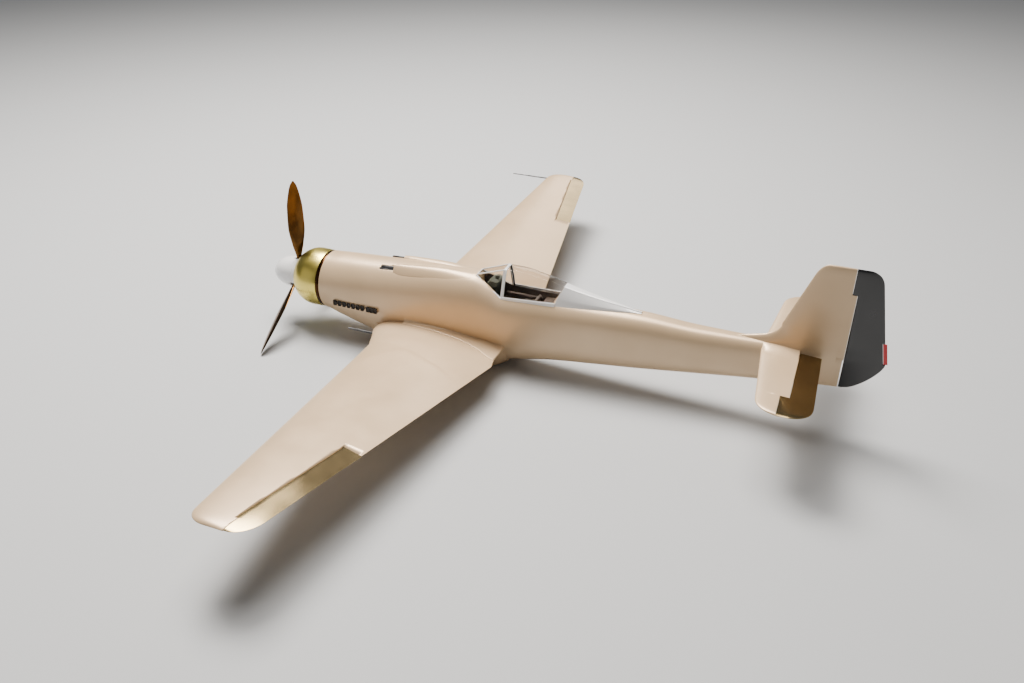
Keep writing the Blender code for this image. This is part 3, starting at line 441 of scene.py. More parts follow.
def wing_front(y):
    return straight(WING_LE, y) + LE_TIP * tip_drop(tip_share(y, LE_TIP_START), 2.6)


def wing_back(y):
    return straight(WING_TE, y) - TE_TIP * tip_drop(tip_share(y, WING_TIP_START), 2.6)


def wing_middle(y):
    return WING_MIDDLE_Z + DIHEDRAL * y


def airfoil(share, thickness):
    """Half thickness of a four-digit section at a share of its chord."""
    return 5 * thickness * (0.2969 * math.sqrt(share) - 0.1260 * share - 0.3516 * share ** 2
                            + 0.2843 * share ** 3 - 0.1015 * share ** 4)


# station, inner edge of the wheel bay's bulge in the upper skin
BULGE = [
    (0.3150, 0.2360),
    (0.3270, 0.1960),
    (0.3470, 0.1670),
    (0.3720, 0.1500),
    (0.4130, 0.1640),
    (0.4570, 0.1800),
    (0.4990, 0.2040),
    (0.5200, 0.2150),
]
BULGE_HEIGHT, BULGE_STEP, BULGE_FADE = 0.0009, 0.0080, 0.0900


def bulge(y, x):
    """Height of the low bulge on the wing's upper skin, with a soft step along its inner edge."""
    past = y - table(BULGE, x, 1)
    if past <= 0.0 or x < BULGE[0][0]:
        return 0.0
    step = min(past / BULGE_STEP, 1.0)
    fade = max(1 - past / BULGE_FADE, 0.0)
    return BULGE_HEIGHT * step * step * (3 - 2 * step) * fade


def wing_surface(y, x, side):
    """Height of the wing's upper (side 1) or lower (side -1) skin."""
    front, back = wing_front(y), wing_back(y)
    share = min(max((x - front) / (back - front), 0.0), 1.0)
    chord = back - front
    full_chord = straight(WING_TE, y) - straight(WING_LE, y)
    rounding = math.sqrt(max(1 - tip_share(y, WING_TIP_START) ** 6, 0.01))
    half = airfoil(share, table(WING_THICKNESS, y)) * full_chord * rounding + 0.0002 * share
    raised = bulge(y, x) * min(4 * (1 - share), 1.0) if side > 0 else 0.0
    return wing_middle(y) + 4 * CAMBER * chord * share * (1 - share) + side * half + raised


JOG_Y, JOG = 0.6730, 0.0045


def aileron_line(y):
    """Where the wing's skin ends in front of the aileron, along one straight swept line; the short jog aft near the
    tip is added where the line is used.
    """
    return AILERON_LINE_X + AILERON_SWEEP * (y - AILERON_INNER_Y)


def wing_stations(low):
    kinks = [y for y, x in WING_LE[1:-1]]
    inner = spread(low, 0.1450, 14)[:-1] + spread(0.1450, 0.2450, 44)[:-1] + spread(0.2450, WING_TIP_START, 30)
    inner = sorted(inner + [kink + step for kink in kinks for step in (-0.001, 0.0, 0.001)])
    tip = [WING_TIP_START + (HALF_SPAN - WING_TIP_START) * math.sin(math.pi / 2 * k / 14) for k in range(1, 15)]
    return inner + tip


def wing_skin():
    count = 34
    shares = [0.5 * (1 - math.cos(math.pi * k / count)) for k in range(count + 1)]
    rings = []
    for y in wing_stations(0.030):
        front, back = wing_front(y), wing_back(y)
        xs = [front + share * (back - front) for share in shares]
        ring = [Vector((x, y, wing_surface(y, x, 1))) for x in xs]
        ring += [Vector((x, y, wing_surface(y, x, -1))) for x in reversed(xs[1:-1])]
        rings.append(ring)
    return loft(rings)


def aileron_bay():
    """Everything behind the hinge line, from the aileron's inner end outwards."""
    slope = -AILERON_SWEEP
    inner_y = AILERON_INNER_Y - HINGE_GAP - slope * AILERON_AXIS_BACK
    rings = []
    for y, shift, jog in ((inner_y, slope, 0.0), (JOG_Y, 0.0, 0.0), (JOG_Y + 0.0002, 0.0, JOG), (0.80, 0.0, JOG)):
        line = aileron_line(y) + jog
        outline = [(line, -0.2), (line, 0.2), (line + 0.15, 0.2), (line + 0.15, -0.2)]
        rings.append([Vector((x, y + shift * (x - line), z)) for x, z in outline])
    return loft(rings)


def aileron_axis(y):
    x = aileron_line(y) + AILERON_AXIS_BACK
    return Vector((x, y, (wing_surface(y, x, 1) + wing_surface(y, x, -1)) / 2))


def nose_arc(nose, half, steps=12):
    """Distance ahead of the axis and height of a nose: an arc about the axis, cut off at the skins."""
    end = math.asin(min(half / nose, 1.0))
    points = [(nose * math.cos(end - 2 * end * k / steps), -nose * math.sin(end - 2 * end * k / steps))
              for k in range(steps + 1)]
    return [(0.0, -half), *points, (0.0, half)]


def hinged_ring(axis, middle, nose, back, half_at, place):
    """A rib of a hinged surface: a round nose in front of its axis, then its two skins to the edge."""
    half = half_at(axis)
    ring = [place(axis - x, middle + z) for x, z in nose_arc(nose, half)]
    xs = spread(axis, back, 12)
    ring += [place(x, half_at(x) + middle) for x in xs[1:]]
    ring += [place(x, middle - half_at(x)) for x in reversed(xs[1:])]
    return ring


def aileron_skin():
    rings = []
    span = AILERON_OUTER_Y - AILERON_INNER_Y
    stations = [AILERON_INNER_Y + span * math.sin(math.pi / 2 * k / 40) for k in range(41)]
    stations = sorted(stations + [JOG_Y - 0.0004, JOG_Y - 0.0002])
    nose = AILERON_AXIS_BACK - HINGE_GAP
    for k, y in enumerate(stations):
        slope = -AILERON_SWEEP * max(1 - k / 6, 0.0)
        axis = aileron_axis(y)
        back = max(wing_back(y), axis.x + 0.002)
        half = wing_surface(y, axis.x, 1) - axis.z
        reach = nose if y < JOG_Y - 0.0003 else max(nose - JOG, 0.0002)
        ring = [axis + Vector((-x, 0.0, z)) for x, z in nose_arc(reach, half)]
        xs = spread(axis.x, back, 12)[1:]
        ring += [Vector((x, y + slope * (x - axis.x), wing_surface(y, x, 1))) for x in xs]
        ring += [Vector((x, y + slope * (x - axis.x), wing_surface(y, x, -1))) for x in reversed(xs)]
        rings.append(ring)
    return loft(rings)


# station, height on the fuselage's side, reach over the wing's skin
FILLET = [
    (0.3180, -0.0215, 0.0600),
    (0.3640, -0.0262, 0.0610),
    (0.4266, -0.0345, 0.0640),
    (0.4740, -0.0410, 0.0740),
    (0.5186, -0.0468, 0.0930),
]
FILLET_LIP = 0.0018


def fillet_skin():
    """The hollow curve between the fuselage's side and the starboard wing, with a rounded lip along its edge."""
    rings = []
    for x in spread(FILLET[0][0], FILLET[-1][0], 70):
        z_top, reach = table(FILLET, x, 1), table(FILLET, x, 2)
        y_top = body_width_at(x, z_top)
        top = Vector((x, y_top - 0.0002, z_top))
        edge = Vector((x, reach, wing_surface(reach, x, 1) + FILLET_LIP))
        corner_z = wing_surface(max(y_top, 0.0545), x, 1) + 0.5 * FILLET_LIP
        corner = Vector((x, body_width_at(x, corner_z), corner_z))
        lip = []
        for k in range(1, 7):
            angle = math.pi / 2 * k / 6
            lip.append(edge + FILLET_LIP * Vector((0, math.sin(angle), 1.2 * math.cos(angle) - 1.2)))
        sunk = Vector((0, -0.004, -0.004))
        rings.append(near_arc(top, corner, edge) + lip + [corner + sunk, top + Vector((0, -0.0030, 0))])
    return loft(rings)


CENTRE_FRONT, CENTRE_BACK = 0.2450, 0.5180
# station, belly height, half width of its flat
BELLY_LINE = [
    (0.2450, -0.0925, 0.020),
    (0.2700, -0.0985, 0.030),
    (0.2950, -BELLY, 0.036),
    (0.4750, -BELLY, 0.036),
    (0.5000, -0.0980, 0.030),
    (0.5240, -0.0905, 0.018),
]
BELLY_SWELL = [
    (CENTRE_FRONT, 0.0),
    (0.2620, 0.15),
    (0.2850, 1.0),
    (0.4750, 1.0),
    (0.4980, 0.30),
    (CENTRE_BACK, 0.0),
]


def belly_skin():
    """The underside of the wing's middle, swelling from the fuselage out to the root ribs."""
    rings = []
    for x in spread(CENTRE_FRONT, CENTRE_BACK, 70):
        front, back = straight(WING_LE, ROOT_RIB_Y), straight(WING_TE, ROOT_RIB_Y)
        swell = table(BELLY_SWELL, x, 1)
        x_rib = min(max(x, front + 0.002), back - 0.002)
        rib_upper, rib_lower = wing_surface(ROOT_RIB_Y, x_rib, 1), wing_surface(ROOT_RIB_Y, x_rib, -1)
        belly, flat = table(BELLY_LINE, x, 1), table(BELLY_LINE, x, 2)
        side_y = body_width_at(x, -0.050) - 0.001
        reach = side_y + (ROOT_RIB_Y + 0.004 - side_y) * swell
        inside = Vector((x, 0.030, -0.040))
        shoulder = Vector((x, reach, rib_upper * swell - 0.050 * (1 - swell) - 0.001))
        low = Vector((x, reach, rib_lower * swell - 0.052 * (1 - swell)))
        keel = Vector((x, flat, belly))
        corner = Vector((x, 0.55 * reach + 0.45 * flat, belly))
        half = [inside, shoulder]
        for k in range(13):
            t = k / 12
            half.append(low * (1 - t) ** 2 + corner * 2 * t * (1 - t) + keel * t * t)
        ring = half + [Vector((p.x, -p.y, p.z)) for p in reversed(half)]
        rings.append(ring)
    return loft(rings)


# ---------------------------------------------------------------- tail
TAIL_Z = 0.0356
STAB_SPAN, STAB_TIP_START = 0.2045, 0.1650
STAB_LE = [(0.0, 0.9704), (0.175, 0.9857)]
STAB_TE = [(0.0, 1.0683), (0.163, 1.0719)]
STAB_THICK = [(0.0, 0.0050), (0.175, 0.0036), (0.205, 0.0030)]
STAB_LE_TIP, STAB_TE_TIP = 0.0420, 0.0380
ELEVATOR_LINE, ELEVATOR_HORN_LINE = 1.0338, 1.0199
ELEVATOR_AXIS_X = 1.0390
ELEVATOR_HORN_Y = 0.1530


def tail_half(scale, front, back, x):
    """Half thickness of a tail surface at x, thickest a third of the way back."""
    share = min(max((x - front) / (back - front), 0.0), 1.0)
    if share < 0.3:
        return scale * math.sqrt(max(1 - ((0.3 - share) / 0.3) ** 2, 0.0))
    return scale * (1 - 0.88 * ((share - 0.3) / 0.7) ** 1.3)


def stab_edges(y):
    drop = tip_drop((y - STAB_TIP_START) / (STAB_SPAN - STAB_TIP_START))
    scale = straight(STAB_THICK, y) * math.sqrt(max(1 - drop ** 1.5, 0.03))
    return straight(STAB_LE, y) + STAB_LE_TIP * drop, straight(STAB_TE, y) - STAB_TE_TIP * drop, scale


def tail_ribs(low, step, high, tip_start):
    """Stations of a tail surface, with a sharp step in its hinge line at step."""
    ribs = [(s, False) for s in spread(low, step - HINGE_GAP, 24)]
    ribs += [(step - 0.9 * HINGE_GAP, True)]
    ribs += [(s, True) for s in spread(step, tip_start, 6)]
    ribs += [(tip_start + (high - tip_start) * math.sin(math.pi / 2 * k / 12), True) for k in range(1, 13)]
    return ribs


def stabilizer_skin():
    rings = []
    for y, horn in tail_ribs(0.006, ELEVATOR_HORN_Y, STAB_SPAN, STAB_TIP_START):
        front, back, scale = stab_edges(y)
        end = ELEVATOR_HORN_LINE if horn else ELEVATOR_LINE
        end = max(end, front + 0.001)
        xs = spread(front, end, 20, 1.8)
        half = [tail_half(scale, front, back, x) for x in xs]
        half[0] = 0.3 * half[1]
        ring = [Vector((x, y, TAIL_Z + h)) for x, h in zip(xs, half)]
        ring += [Vector((x, y, TAIL_Z - h)) for x, h in zip(reversed(xs), reversed(half))]
        rings.append(ring)
    return loft(rings)


def elevator_skin():
    rings = []
    ribs = [(s, False) for s in spread(0.0120, ELEVATOR_HORN_Y, 22)]
    ribs += [(s, True) for s in spread(ELEVATOR_HORN_Y + 0.1 * HINGE_GAP, STAB_TIP_START, 6)]
    reach = STAB_SPAN - 0.0002 - STAB_TIP_START
    ribs += [(STAB_TIP_START + reach * math.sin(math.pi / 2 * k / 12), True) for k in range(1, 13)]
    for y, horn in ribs:
        front, back, scale = stab_edges(y)
        line = max(ELEVATOR_HORN_LINE, front - HINGE_GAP) if horn else ELEVATOR_LINE
        nose = max(ELEVATOR_AXIS_X - line - HINGE_GAP, 0.001)
        rings.append(hinged_ring(
            ELEVATOR_AXIS_X, TAIL_Z, nose, max(back, ELEVATOR_AXIS_X + 0.0008),
            lambda x: max(tail_half(scale, front, back, x), 0.0004),
            lambda x, z: Vector((x, y, z))))
    return loft(rings)


FIN_TOP, FIN_TIP_START = 0.1980, 0.1760
FIN_LE = [(0.036, 0.920), (0.0455, 0.930), (0.0505, 0.948), (0.0560, 0.970), (0.0690, 0.992), (0.0800, 0.9975)]
FIN_LE_LINE = [(0.0690, 0.992), (0.1856, 1.0366)]
RUDDER_TE = [(-0.0164, 1.1060), (-0.0145, 1.1150), (-0.0066, 1.1290), (0.0120, 1.1490), (0.0317, 1.1625),
             (0.0404, 1.1653)]
RUDDER_TE_LINE = [(0.0404, 1.1653), (0.1815, 1.1361)]
FIN_THICK = [(-0.0164, 0.0056), (0.036, 0.0072), (0.069, 0.0066), (0.186, 0.0040), (0.198, 0.0034)]
FIN_LE_TIP, RUDDER_TE_TIP = 0.0130, 0.0210
RUDDER_LINE, RUDDER_HORN_LINE = 1.1014, 1.0935
RUDDER_AXIS_X = 1.1068
RUDDER_HORN_Z = 0.1540


def fin_edges(z):
    drop = tip_drop((z - FIN_TIP_START) / (FIN_TOP - FIN_TIP_START))
    front = table(FIN_LE, z) if z < FIN_LE[-1][0] else straight(FIN_LE_LINE, z)
    back = table(RUDDER_TE, z) if z < RUDDER_TE[-1][0] else straight(RUDDER_TE_LINE, z)
    scale = straight(FIN_THICK, z) * math.sqrt(max(1 - drop ** 1.5, 0.04))
    return front + FIN_LE_TIP * drop, back - RUDDER_TE_TIP * drop, scale


def fin_skin():
    rings = []
    for z, horn in tail_ribs(0.036, RUDDER_HORN_Z, FIN_TOP, FIN_TIP_START):
        front, back, scale = fin_edges(z)
        end = RUDDER_HORN_LINE if horn else RUDDER_LINE
        xs = spread(front, end, 26, 1.6)
        half = [tail_half(scale, front, back, x) for x in xs]
        half[0] = 0.3 * half[1]
        ring = [Vector((x, h, z)) for x, h in zip(xs, half)]
        ring += [Vector((x, -h, z)) for x, h in zip(reversed(xs), reversed(half))]
        rings.append(ring)
    return loft(rings)


def rudder_skin():
    rings = []
    ribs = [(s, False) for s in spread(-0.0164, RUDDER_HORN_Z, 40, 1.5)]
    ribs += [(s, True) for s in spread(RUDDER_HORN_Z + 0.1 * HINGE_GAP, FIN_TIP_START, 6)]
    reach = FIN_TOP - 0.0002 - FIN_TIP_START
    ribs += [(FIN_TIP_START + reach * math.sin(math.pi / 2 * k / 12), True) for k in range(1, 13)]
    for z, horn in ribs:
        front, back, scale = fin_edges(z)
        line = RUDDER_HORN_LINE if horn else RUDDER_LINE
        nose = RUDDER_AXIS_X - line - HINGE_GAP
        rings.append(hinged_ring(
            RUDDER_AXIS_X, 0.0, nose, max(back, RUDDER_AXIS_X + 0.0008),
            lambda x: max(tail_half(scale, front, back, x), 0.0005),
            lambda x, y: Vector((x, y, z))))
    return loft(rings)


# station, the web's half width on the deck, its height on the fin
FIN_WEB = [
    (0.9300, 0.0030, 0.0010),
    (0.9480, 0.0060, 0.0040),
    (0.9700, 0.0100, 0.0090),
    (0.9950, 0.0135, 0.0180),
    (1.0300, 0.0120, 0.0210),
    (1.0900, 0.0070, 0.0180),
]
# station, reach of the web over the tailplane
TAIL_WEB = [
    (0.9730, 0.0230),
    (0.9790, 0.0300),
    (0.9900, 0.0380),
    (1.0330, 0.0420),
]


def fin_web():
    """The hollow curve between the deck and the fin's starboard side."""
    rings = []
    for x in spread(FIN_WEB[0][0], FIN_WEB[-1][0], 50):
        width, height = table(FIN_WEB, x, 1), table(FIN_WEB, x, 2)
        deck = body_top_at(x, 0.0)
        top_z = deck + height
        front, back, scale = fin_edges(top_z)
        side = tail_half(scale, front, back, x) if x > front else 0.0
        foot = Vector((x, width, body_top_at(x, width) - 0.0001))
        corner = Vector((x, max(side, 0.0004), deck + 0.0004))
        top = Vector((x, max(side - 0.0001, 0.0002), top_z))
        rings.append(near_arc(foot, corner, top) + [Vector((x, 0.0, top_z - 0.0002)), Vector((x, 0.0, deck - 0.003))])
    return loft(rings)


def tail_web():
    """The hollow curve between the fuselage and the starboard tailplane's upper skin."""
    rings = []
    root_y = 0.0060
    for x in spread(TAIL_WEB[0][0], TAIL_WEB[-1][0], 40):
        reach = table(TAIL_WEB, x, 1)
        front, back, scale = stab_edges(reach)
        half = tail_half(scale, front, back, x)
        foot = Vector((x, root_y, body_top_at(x, root_y) - 0.0001))
        edge = Vector((x, reach, TAIL_Z + half - 0.0001))
        shoulder = Vector((x, root_y + 0.35 * (reach - root_y), foot.z - 0.0002))
        corner = Vector((x, root_y + 0.60 * (reach - root_y), TAIL_Z + half + 0.0002))
        under = [edge + Vector((0, -0.001, -0.0015)), Vector((x, root_y, TAIL_Z - 0.002))]
        rings.append(flowing(foot, shoulder, corner, edge) + under)
    return loft(rings)


TAB_BOTTOM, TAB_TOP = 0.0410, 0.0770
TAB_INSET, TAB_OVERHANG = 0.0038, 0.0030


def tab_skin():
    rings = []
    for z in spread(TAB_BOTTOM, TAB_TOP, 8):
        front, back, scale = fin_edges(z)
        xs = spread(back - TAB_INSET + 0.0004, back + TAB_OVERHANG - 0.0003, 6)
        root = tail_half(scale, front, back, xs[0])
        half = [root + (0.0006 - root) * k / 5 for k in range(6)]
        ring = [Vector((x, h, z)) for x, h in zip(xs, half)]
        ring.append(Vector((back + TAB_OVERHANG, 0.0, z)))
        ring += [Vector((x, -h, z)) for x, h in zip(reversed(xs), reversed(half))]
        rings.append(ring)
    return loft(rings)


def tab_bay():
    rings = []
    for z in (TAB_BOTTOM - 0.0003, TAB_TOP + 0.0003):
        x = fin_edges(z)[1] - TAB_INSET
        rings.append([Vector((x, 0.02, z)), Vector((x + 0.05, 0.02, z)), Vector((x + 0.05, -0.02, z)),
                      Vector((x, -0.02, z))])
    return loft(rings)


# ---------------------------------------------------------------- nose
BLADE_RADIUS, BLADE_X = 0.1945, 0.0575
# radius, chord, thickness, pitch angle, sweep aft
BLADE = [
    (0.0125, 0.0090, 0.0060, 62, 0.0000),
    (0.0330, 0.0100, 0.0052, 60, 0.0000),
    (0.0600, 0.0210, 0.0044, 53, 0.0010),
    (0.1000, 0.0320, 0.0034, 52, 0.0025),
    (0.1400, 0.0300, 0.0026, 51, 0.0040),
    (0.1700, 0.0210, 0.0020, 50, 0.0055),
    (0.1880, 0.0110, 0.0013, 49, 0.0066),
    (BLADE_RADIUS, 0.0030, 0.0008, 49, 0.0070),
]


def blade_skin(angle):
    rings = []
    for radius in spread(BLADE[0][0], BLADE_RADIUS, 60):
        chord, thick, pitch, sweep = (table(BLADE, radius, k) for k in (1, 2, 3, 4))
        p = math.radians(pitch)
        ring = []
        for k in range(28):
            a = 2 * math.pi * k / 28
            along = 0.5 * chord * math.cos(a)
            camber = 0.06 * chord * (1 - (2 * along / chord) ** 2)
            across = 0.5 * thick * math.sin(a) - camber
            ring.append(Vector((
                BLADE_X + sweep + along * math.sin(p) + across * math.cos(p),
                along * math.cos(p) - across * math.sin(p),
                radius)))
        rings.append(ring)
    bm = loft(rings)
    bmesh.ops.rotate(bm, cent=(0, 0, 0), matrix=Matrix.Rotation(math.radians(angle), 3, "X"), verts=bm.verts)
    return bm


SPINNER_RADIUS, SPINNER_BASE_X = 0.0330, 0.0670
SEAM_X = 0.0545


def spinner_profile():
    """The dome with a seam groove near its open back."""
    outer = []
    for k in range(33):
        a = math.radians(90 * k / 32)
        outer.append((0.042 * (1 - math.cos(a)), max(SPINNER_RADIUS * 0.955 * math.sin(a), 0.0004)))
    outer += [(SEAM_X - 0.0006, 0.0324), (SEAM_X - 0.0002, 0.0319), (SEAM_X + 0.0004, 0.0319),
              (SEAM_X + 0.0008, 0.0325), (0.0610, 0.0328), (SPINNER_BASE_X - 0.0006, SPINNER_RADIUS),
              (SPINNER_BASE_X, SPINNER_RADIUS - 0.0005)]
    wall = 0.0018
    inner = [(x + wall, max(r - wall, 0.0003)) for x, r in outer[:33:4]]
    return outer + [(SPINNER_BASE_X, SPINNER_RADIUS - wall)] + inner[::-1]


def blade_slot(angle):
    slot = block((BLADE_X - 0.0068, -0.0060, 0.015), (SPINNER_BASE_X + 0.01, 0.0060, 0.045), 0.0008)
    bmesh.ops.rotate(slot, cent=(0, 0, 0), matrix=Matrix.Rotation(math.radians(angle), 3, "X"), verts=slot.verts)
    return slot


COWL = [
    (0.0646, 0.0364), (0.0650, 0.0380), (0.0664, 0.0402), (0.0694, 0.0436), (0.0730, 0.0468), (0.0768, 0.0497),
    (0.0810, 0.0522), (0.0855, 0.0544), (0.0905, 0.0561), (0.0955, 0.0571), (0.1010, 0.0577), (0.1130, 0.0574),
    (0.1258, 0.0568), (0.1265, 0.0566), (0.1267, 0.0560), (0.1267, 0.0535), (0.1020, 0.0540), (0.0920, 0.0522),
    (0.0830, 0.0482), (0.0750, 0.0430), (0.0690, 0.0372), (0.0662, 0.0358),
]
BAND = [
    (0.1270, 0.0556), (0.1273, 0.0562), (0.1280, 0.0565), (0.1330, 0.0565), (0.1337, 0.0562), (0.1340, 0.0556),
    (0.1340, 0.0530), (0.1270, 0.0530),
]


# ---------------------------------------------------------------- exhausts, guns and probe
EXHAUST_FRONT, EXHAUST_SLOPE, EXHAUST_Z = 0.1655, -0.012, -0.0190
EXHAUST_STUBS = [0.0100 * k for k in range(7)] + [0.0724 + 0.0080 * k for k in range(3)]
EXHAUST_WIDTH, EXHAUST_HEIGHT = 0.0078, 0.0100
# distance from the middle, shift aft, size
EXHAUST_RIBS = [
    (0.0500, 0.0000, 0.92),
    (0.0564, 0.0002, 0.94),
    (0.0582, 0.0008, 1.00),
    (0.0590, 0.0013, 0.96),
    (0.0588, 0.0014, 0.80),
    (0.0572, 0.0012, 0.74),
]


def squared(value, power=0.22):
    """A sine or cosine pushed outwards, for round-cornered outlines."""
    return math.copysign(abs(value) ** power, value)


def exhaust_stub(x):
    """One flattened stub, hollow at its mouth and swept a little aft."""
    middle = Vector((EXHAUST_FRONT + x + EXHAUST_WIDTH / 2, 0.0, EXHAUST_Z + EXHAUST_SLOPE * x))
    rings = []
    for out, back, size in EXHAUST_RIBS:
        ring = []
        for k in range(20):
            angle = 2 * math.pi * k / 20
            along = 0.5 * EXHAUST_WIDTH * size * squared(math.cos(angle))
            up = 0.5 * EXHAUST_HEIGHT * size * squared(math.sin(angle))
            ring.append(middle + Vector((back + along, out, up)))
        rings.append(ring)
    return loft(rings)


def exhaust_row():
    return joined(*[exhaust_stub(x) for x in EXHAUST_STUBS])


GUN_Y = 0.0230
GUN_SLOT_FRONT, GUN_SLOT_BACK, GUN_SLOT_HALF = 0.2590, 0.2925, 0.0046
# station, half width, height over the skin, distance from the middle
GUN_FAIRING = [
    (0.2885, 0.0090, 0.0062, GUN_Y),
    (0.3000, 0.0115, 0.0066, GUN_Y),
    (0.3400, 0.0130, 0.0054, 0.0215),
    (0.3900, 0.0130, 0.0032, 0.0185),
    (0.4450, 0.0100, 0.0004, 0.0150),
]


def gun_fairing():
    """A long blister that fades into the skin in front of the windscreen."""
    rings = []
    for x in spread(GUN_FAIRING[0][0], GUN_FAIRING[-1][0], 40):
        width, height, middle = (table(GUN_FAIRING, x, k) for k in (1, 2, 3))
        crown = []
        for k in range(25):
            across = -1 + 2 * k / 24
            y = middle + width * across
            up = height * (0.5 * (1 + math.cos(math.pi * across))) ** 0.45
            crown.append(Vector((x, y, body_top_at(x, y) - 0.0002 + up)))
        under = [Vector((x, middle + width, body_top_at(x, middle + width) - 0.004)),
                 Vector((x, middle - width, body_top_at(x, middle - width) - 0.004))]
        rings.append(crown + under)
    return loft(rings)


def gun_slot():
    """The opening in the deck that the gun lies in."""
    low = Vector((GUN_SLOT_FRONT, GUN_Y - GUN_SLOT_HALF, 0.0520))
    high = Vector((GUN_SLOT_BACK, GUN_Y + GUN_SLOT_HALF, 0.0800))
    return block(low, high, 0.0012)


def gun_barrel():
    """The gun in its slot, with the dark bed under it."""
    top = body_top_at(0.275, GUN_Y)
    bed = block((GUN_SLOT_FRONT - 0.001, GUN_Y - GUN_SLOT_HALF - 0.0008, top - 0.0080),
                (GUN_SLOT_BACK + 0.001, GUN_Y + GUN_SLOT_HALF + 0.0008, top - 0.0016), 0.0006)
    points = [(0.2600, GUN_Y, top - 0.0006), (0.2610, GUN_Y, top - 0.0006), (0.2900, GUN_Y, top + 0.0008)]
    return joined(bed, rod(points, [0.0022, 0.0028, 0.0030]))


def root_gun():
    y = 0.0880
    z = wing_middle(y) + 0.001
    points = [(0.2150, y, z), (0.2154, y, z), (0.2330, y, z), (0.2334, y, z), (0.2720, y, z)]
    return rod(points, [0.0013, 0.0017, 0.0017, 0.0021, 0.0023])


def pitot():
    y = 0.6730
    z = wing_middle(y)
    return rod([(0.2495, y, z), (0.2500, y, z), (0.2900, y, z), (0.2905, y, z), (0.3440, y, z)],
               [0.0008, 0.0011, 0.0012, 0.0015, 0.0016])


# ---------------------------------------------------------------- canopy
HOOP_X = 0.508
# station, base half width, base height, top half width, top height
HOOD = [
    (HOOP_X + 0.002, 0.0307, 0.0442, 0.0137, 0.0945),
    (0.540, 0.0292, 0.0452, 0.0130, 0.0945),
    (0.575, 0.0272, 0.0465, 0.0118, 0.0895),
    (0.607, 0.0252, 0.0480, 0.0104, 0.0828),
    (0.622, 0.0240, 0.0487, 0.0096, 0.0790),
    (0.670, 0.0195, 0.0505, 0.0075, 0.0690),
    (0.720, 0.0130, 0.0520, 0.0045, 0.0600),
    (0.765, 0.0050, 0.0522, 0.0015, 0.0530),
]
WINDSCREEN = [
    (0.4530, 0.0140, 0.0680, 0.0110, 0.0757),
    (HOOP_X, 0.0307, 0.0440, 0.0137, 0.0945),
]
GLASS_FOOT_X, GLASS_TOP_X = 0.6065, 0.6214
SILL_HEIGHT = 0.0035


def hood_rib(rows, x, inset=0.0, bulge=0.10, steps=10):
    """One side of a rib of the hood, from its foot to the middle of its top."""
    between = straight if len(rows) == 2 else table
    base_y, base_z, top_y, top_z = (between(rows, x, k) for k in (1, 2, 3, 4))
    base_y, top_y, top_z = base_y - inset, max(top_y - inset * 0.6, 0.0006), top_z - inset
    points = []
    for k in range(steps + 1):
        t = k / steps
        y = base_y + (top_y - base_y) * t + bulge * math.sin(math.pi * t) * (base_y - top_y)
        points.append((y, base_z + (top_z - base_z) * t))
    for k in range(1, 6):
        a = math.pi / 2 * k / 5
        points.append((top_y * math.cos(a), top_z + bulge * 0.02 * math.sin(a)))
    return points


def tunnel(rows, ribs, wall, foot=0.0, bulge=0.10):
    """A hood open at the bottom and at both ends; each rib is its foot's and its top's station."""
    rings = []
    for low_x, top_x in ribs:
        outer, inner = [], []
        count = len(hood_rib(rows, low_x))
        for k in range(count):
            x = low_x + (top_x - low_x) * min(k / 10, 1.0)
            y, z = hood_rib(rows, x, 0.0, bulge)[k]
            yi, zi = hood_rib(rows, x, wall, bulge)[k]
            lift = foot * max(1 - k / 3, 0.0)
            outer.append((x, y, z + lift))
            inner.append((x, yi, zi + lift))
        ring = [Vector(p) for p in outer] + [Vector((x, -y, z)) for x, y, z in reversed(outer[:-1])]
        ring += [Vector((x, -y, z)) for x, y, z in inner] + [Vector(p) for p in reversed(inner[:-1])]
        rings.append(ring)
    return loft(rings)


def sill(side, ribs, out=0.0006, inside=0.0022, low=-0.0050, high=SILL_HEIGHT):
    """A rounded rail along the hood's foot."""
    rings = []
    for x in ribs:
        y, z = table(HOOD, x, 1), table(HOOD, x, 2)
        corners = [(out, low), (out + 0.0002, (low + high) / 2), (out, high - 0.0006), (out - 0.0008, high),
                   (-inside, high), (-inside, low)]
        rings.append([Vector((x, side * (y + across), z + up)) for across, up in corners])
    return loft(rings)


def strut(a, b, width, depth):
    """A flat bar with rounded edges between two points of the windscreen."""
    a, b = Vector(a), Vector(b)
    along = (b - a).normalized()
    outward = Vector((-0.3, 0, 1))
    across = along.cross(outward).normalized()
    up = across.cross(along).normalized()
    rings = []
    for centre in (a - along * 0.0006, b + along * 0.0006):
        ring = []
        for k in range(12):
            t = 2 * math.pi * k / 12
            c, s = math.cos(t), math.sin(t)
            ring.append(centre + across * width * abs(c) ** 0.6 * math.copysign(1, c)
                        + up * depth * abs(s) ** 0.6 * math.copysign(1, s))
        rings.append(ring)
    return loft(rings)


def windscreen_frame():
    """Struts along every edge of the three flat panes."""
    front_top, front_foot = (0.4545, 0.0112, 0.0752), (0.4530, 0.0130, 0.0735)
    top, foot = (HOOP_X, 0.0137, 0.0940), (HOOP_X, 0.0303, 0.0440)
    flip = Vector((1, -1, 1))
    bars = []
    for side in (1, -1):
        turn = flip if side < 0 else Vector((1, 1, 1))
        pairs = ((front_top, top), (front_foot, foot), (top, foot))
        bars += [strut(Vector(a) * turn, Vector(b) * turn, 0.0014, 0.0011) for a, b in pairs]
    bars.append(strut(Vector(top) * flip, top, 0.0015, 0.0011))
    bars.append(strut(Vector(front_top) * flip, front_top, 0.0012, 0.0009))
    return joined(*bars)


# ---------------------------------------------------------------- cockpit
COCKPIT_FRONT, COCKPIT_BACK, COCKPIT_FLOOR = 0.4580, 0.6050, 0.0205


def opening_half(x):
    """Half width of the cockpit opening, just inside the foot of the glass."""
    return straight(WINDSCREEN if x < HOOP_X else HOOD, x, 1) - 0.0018


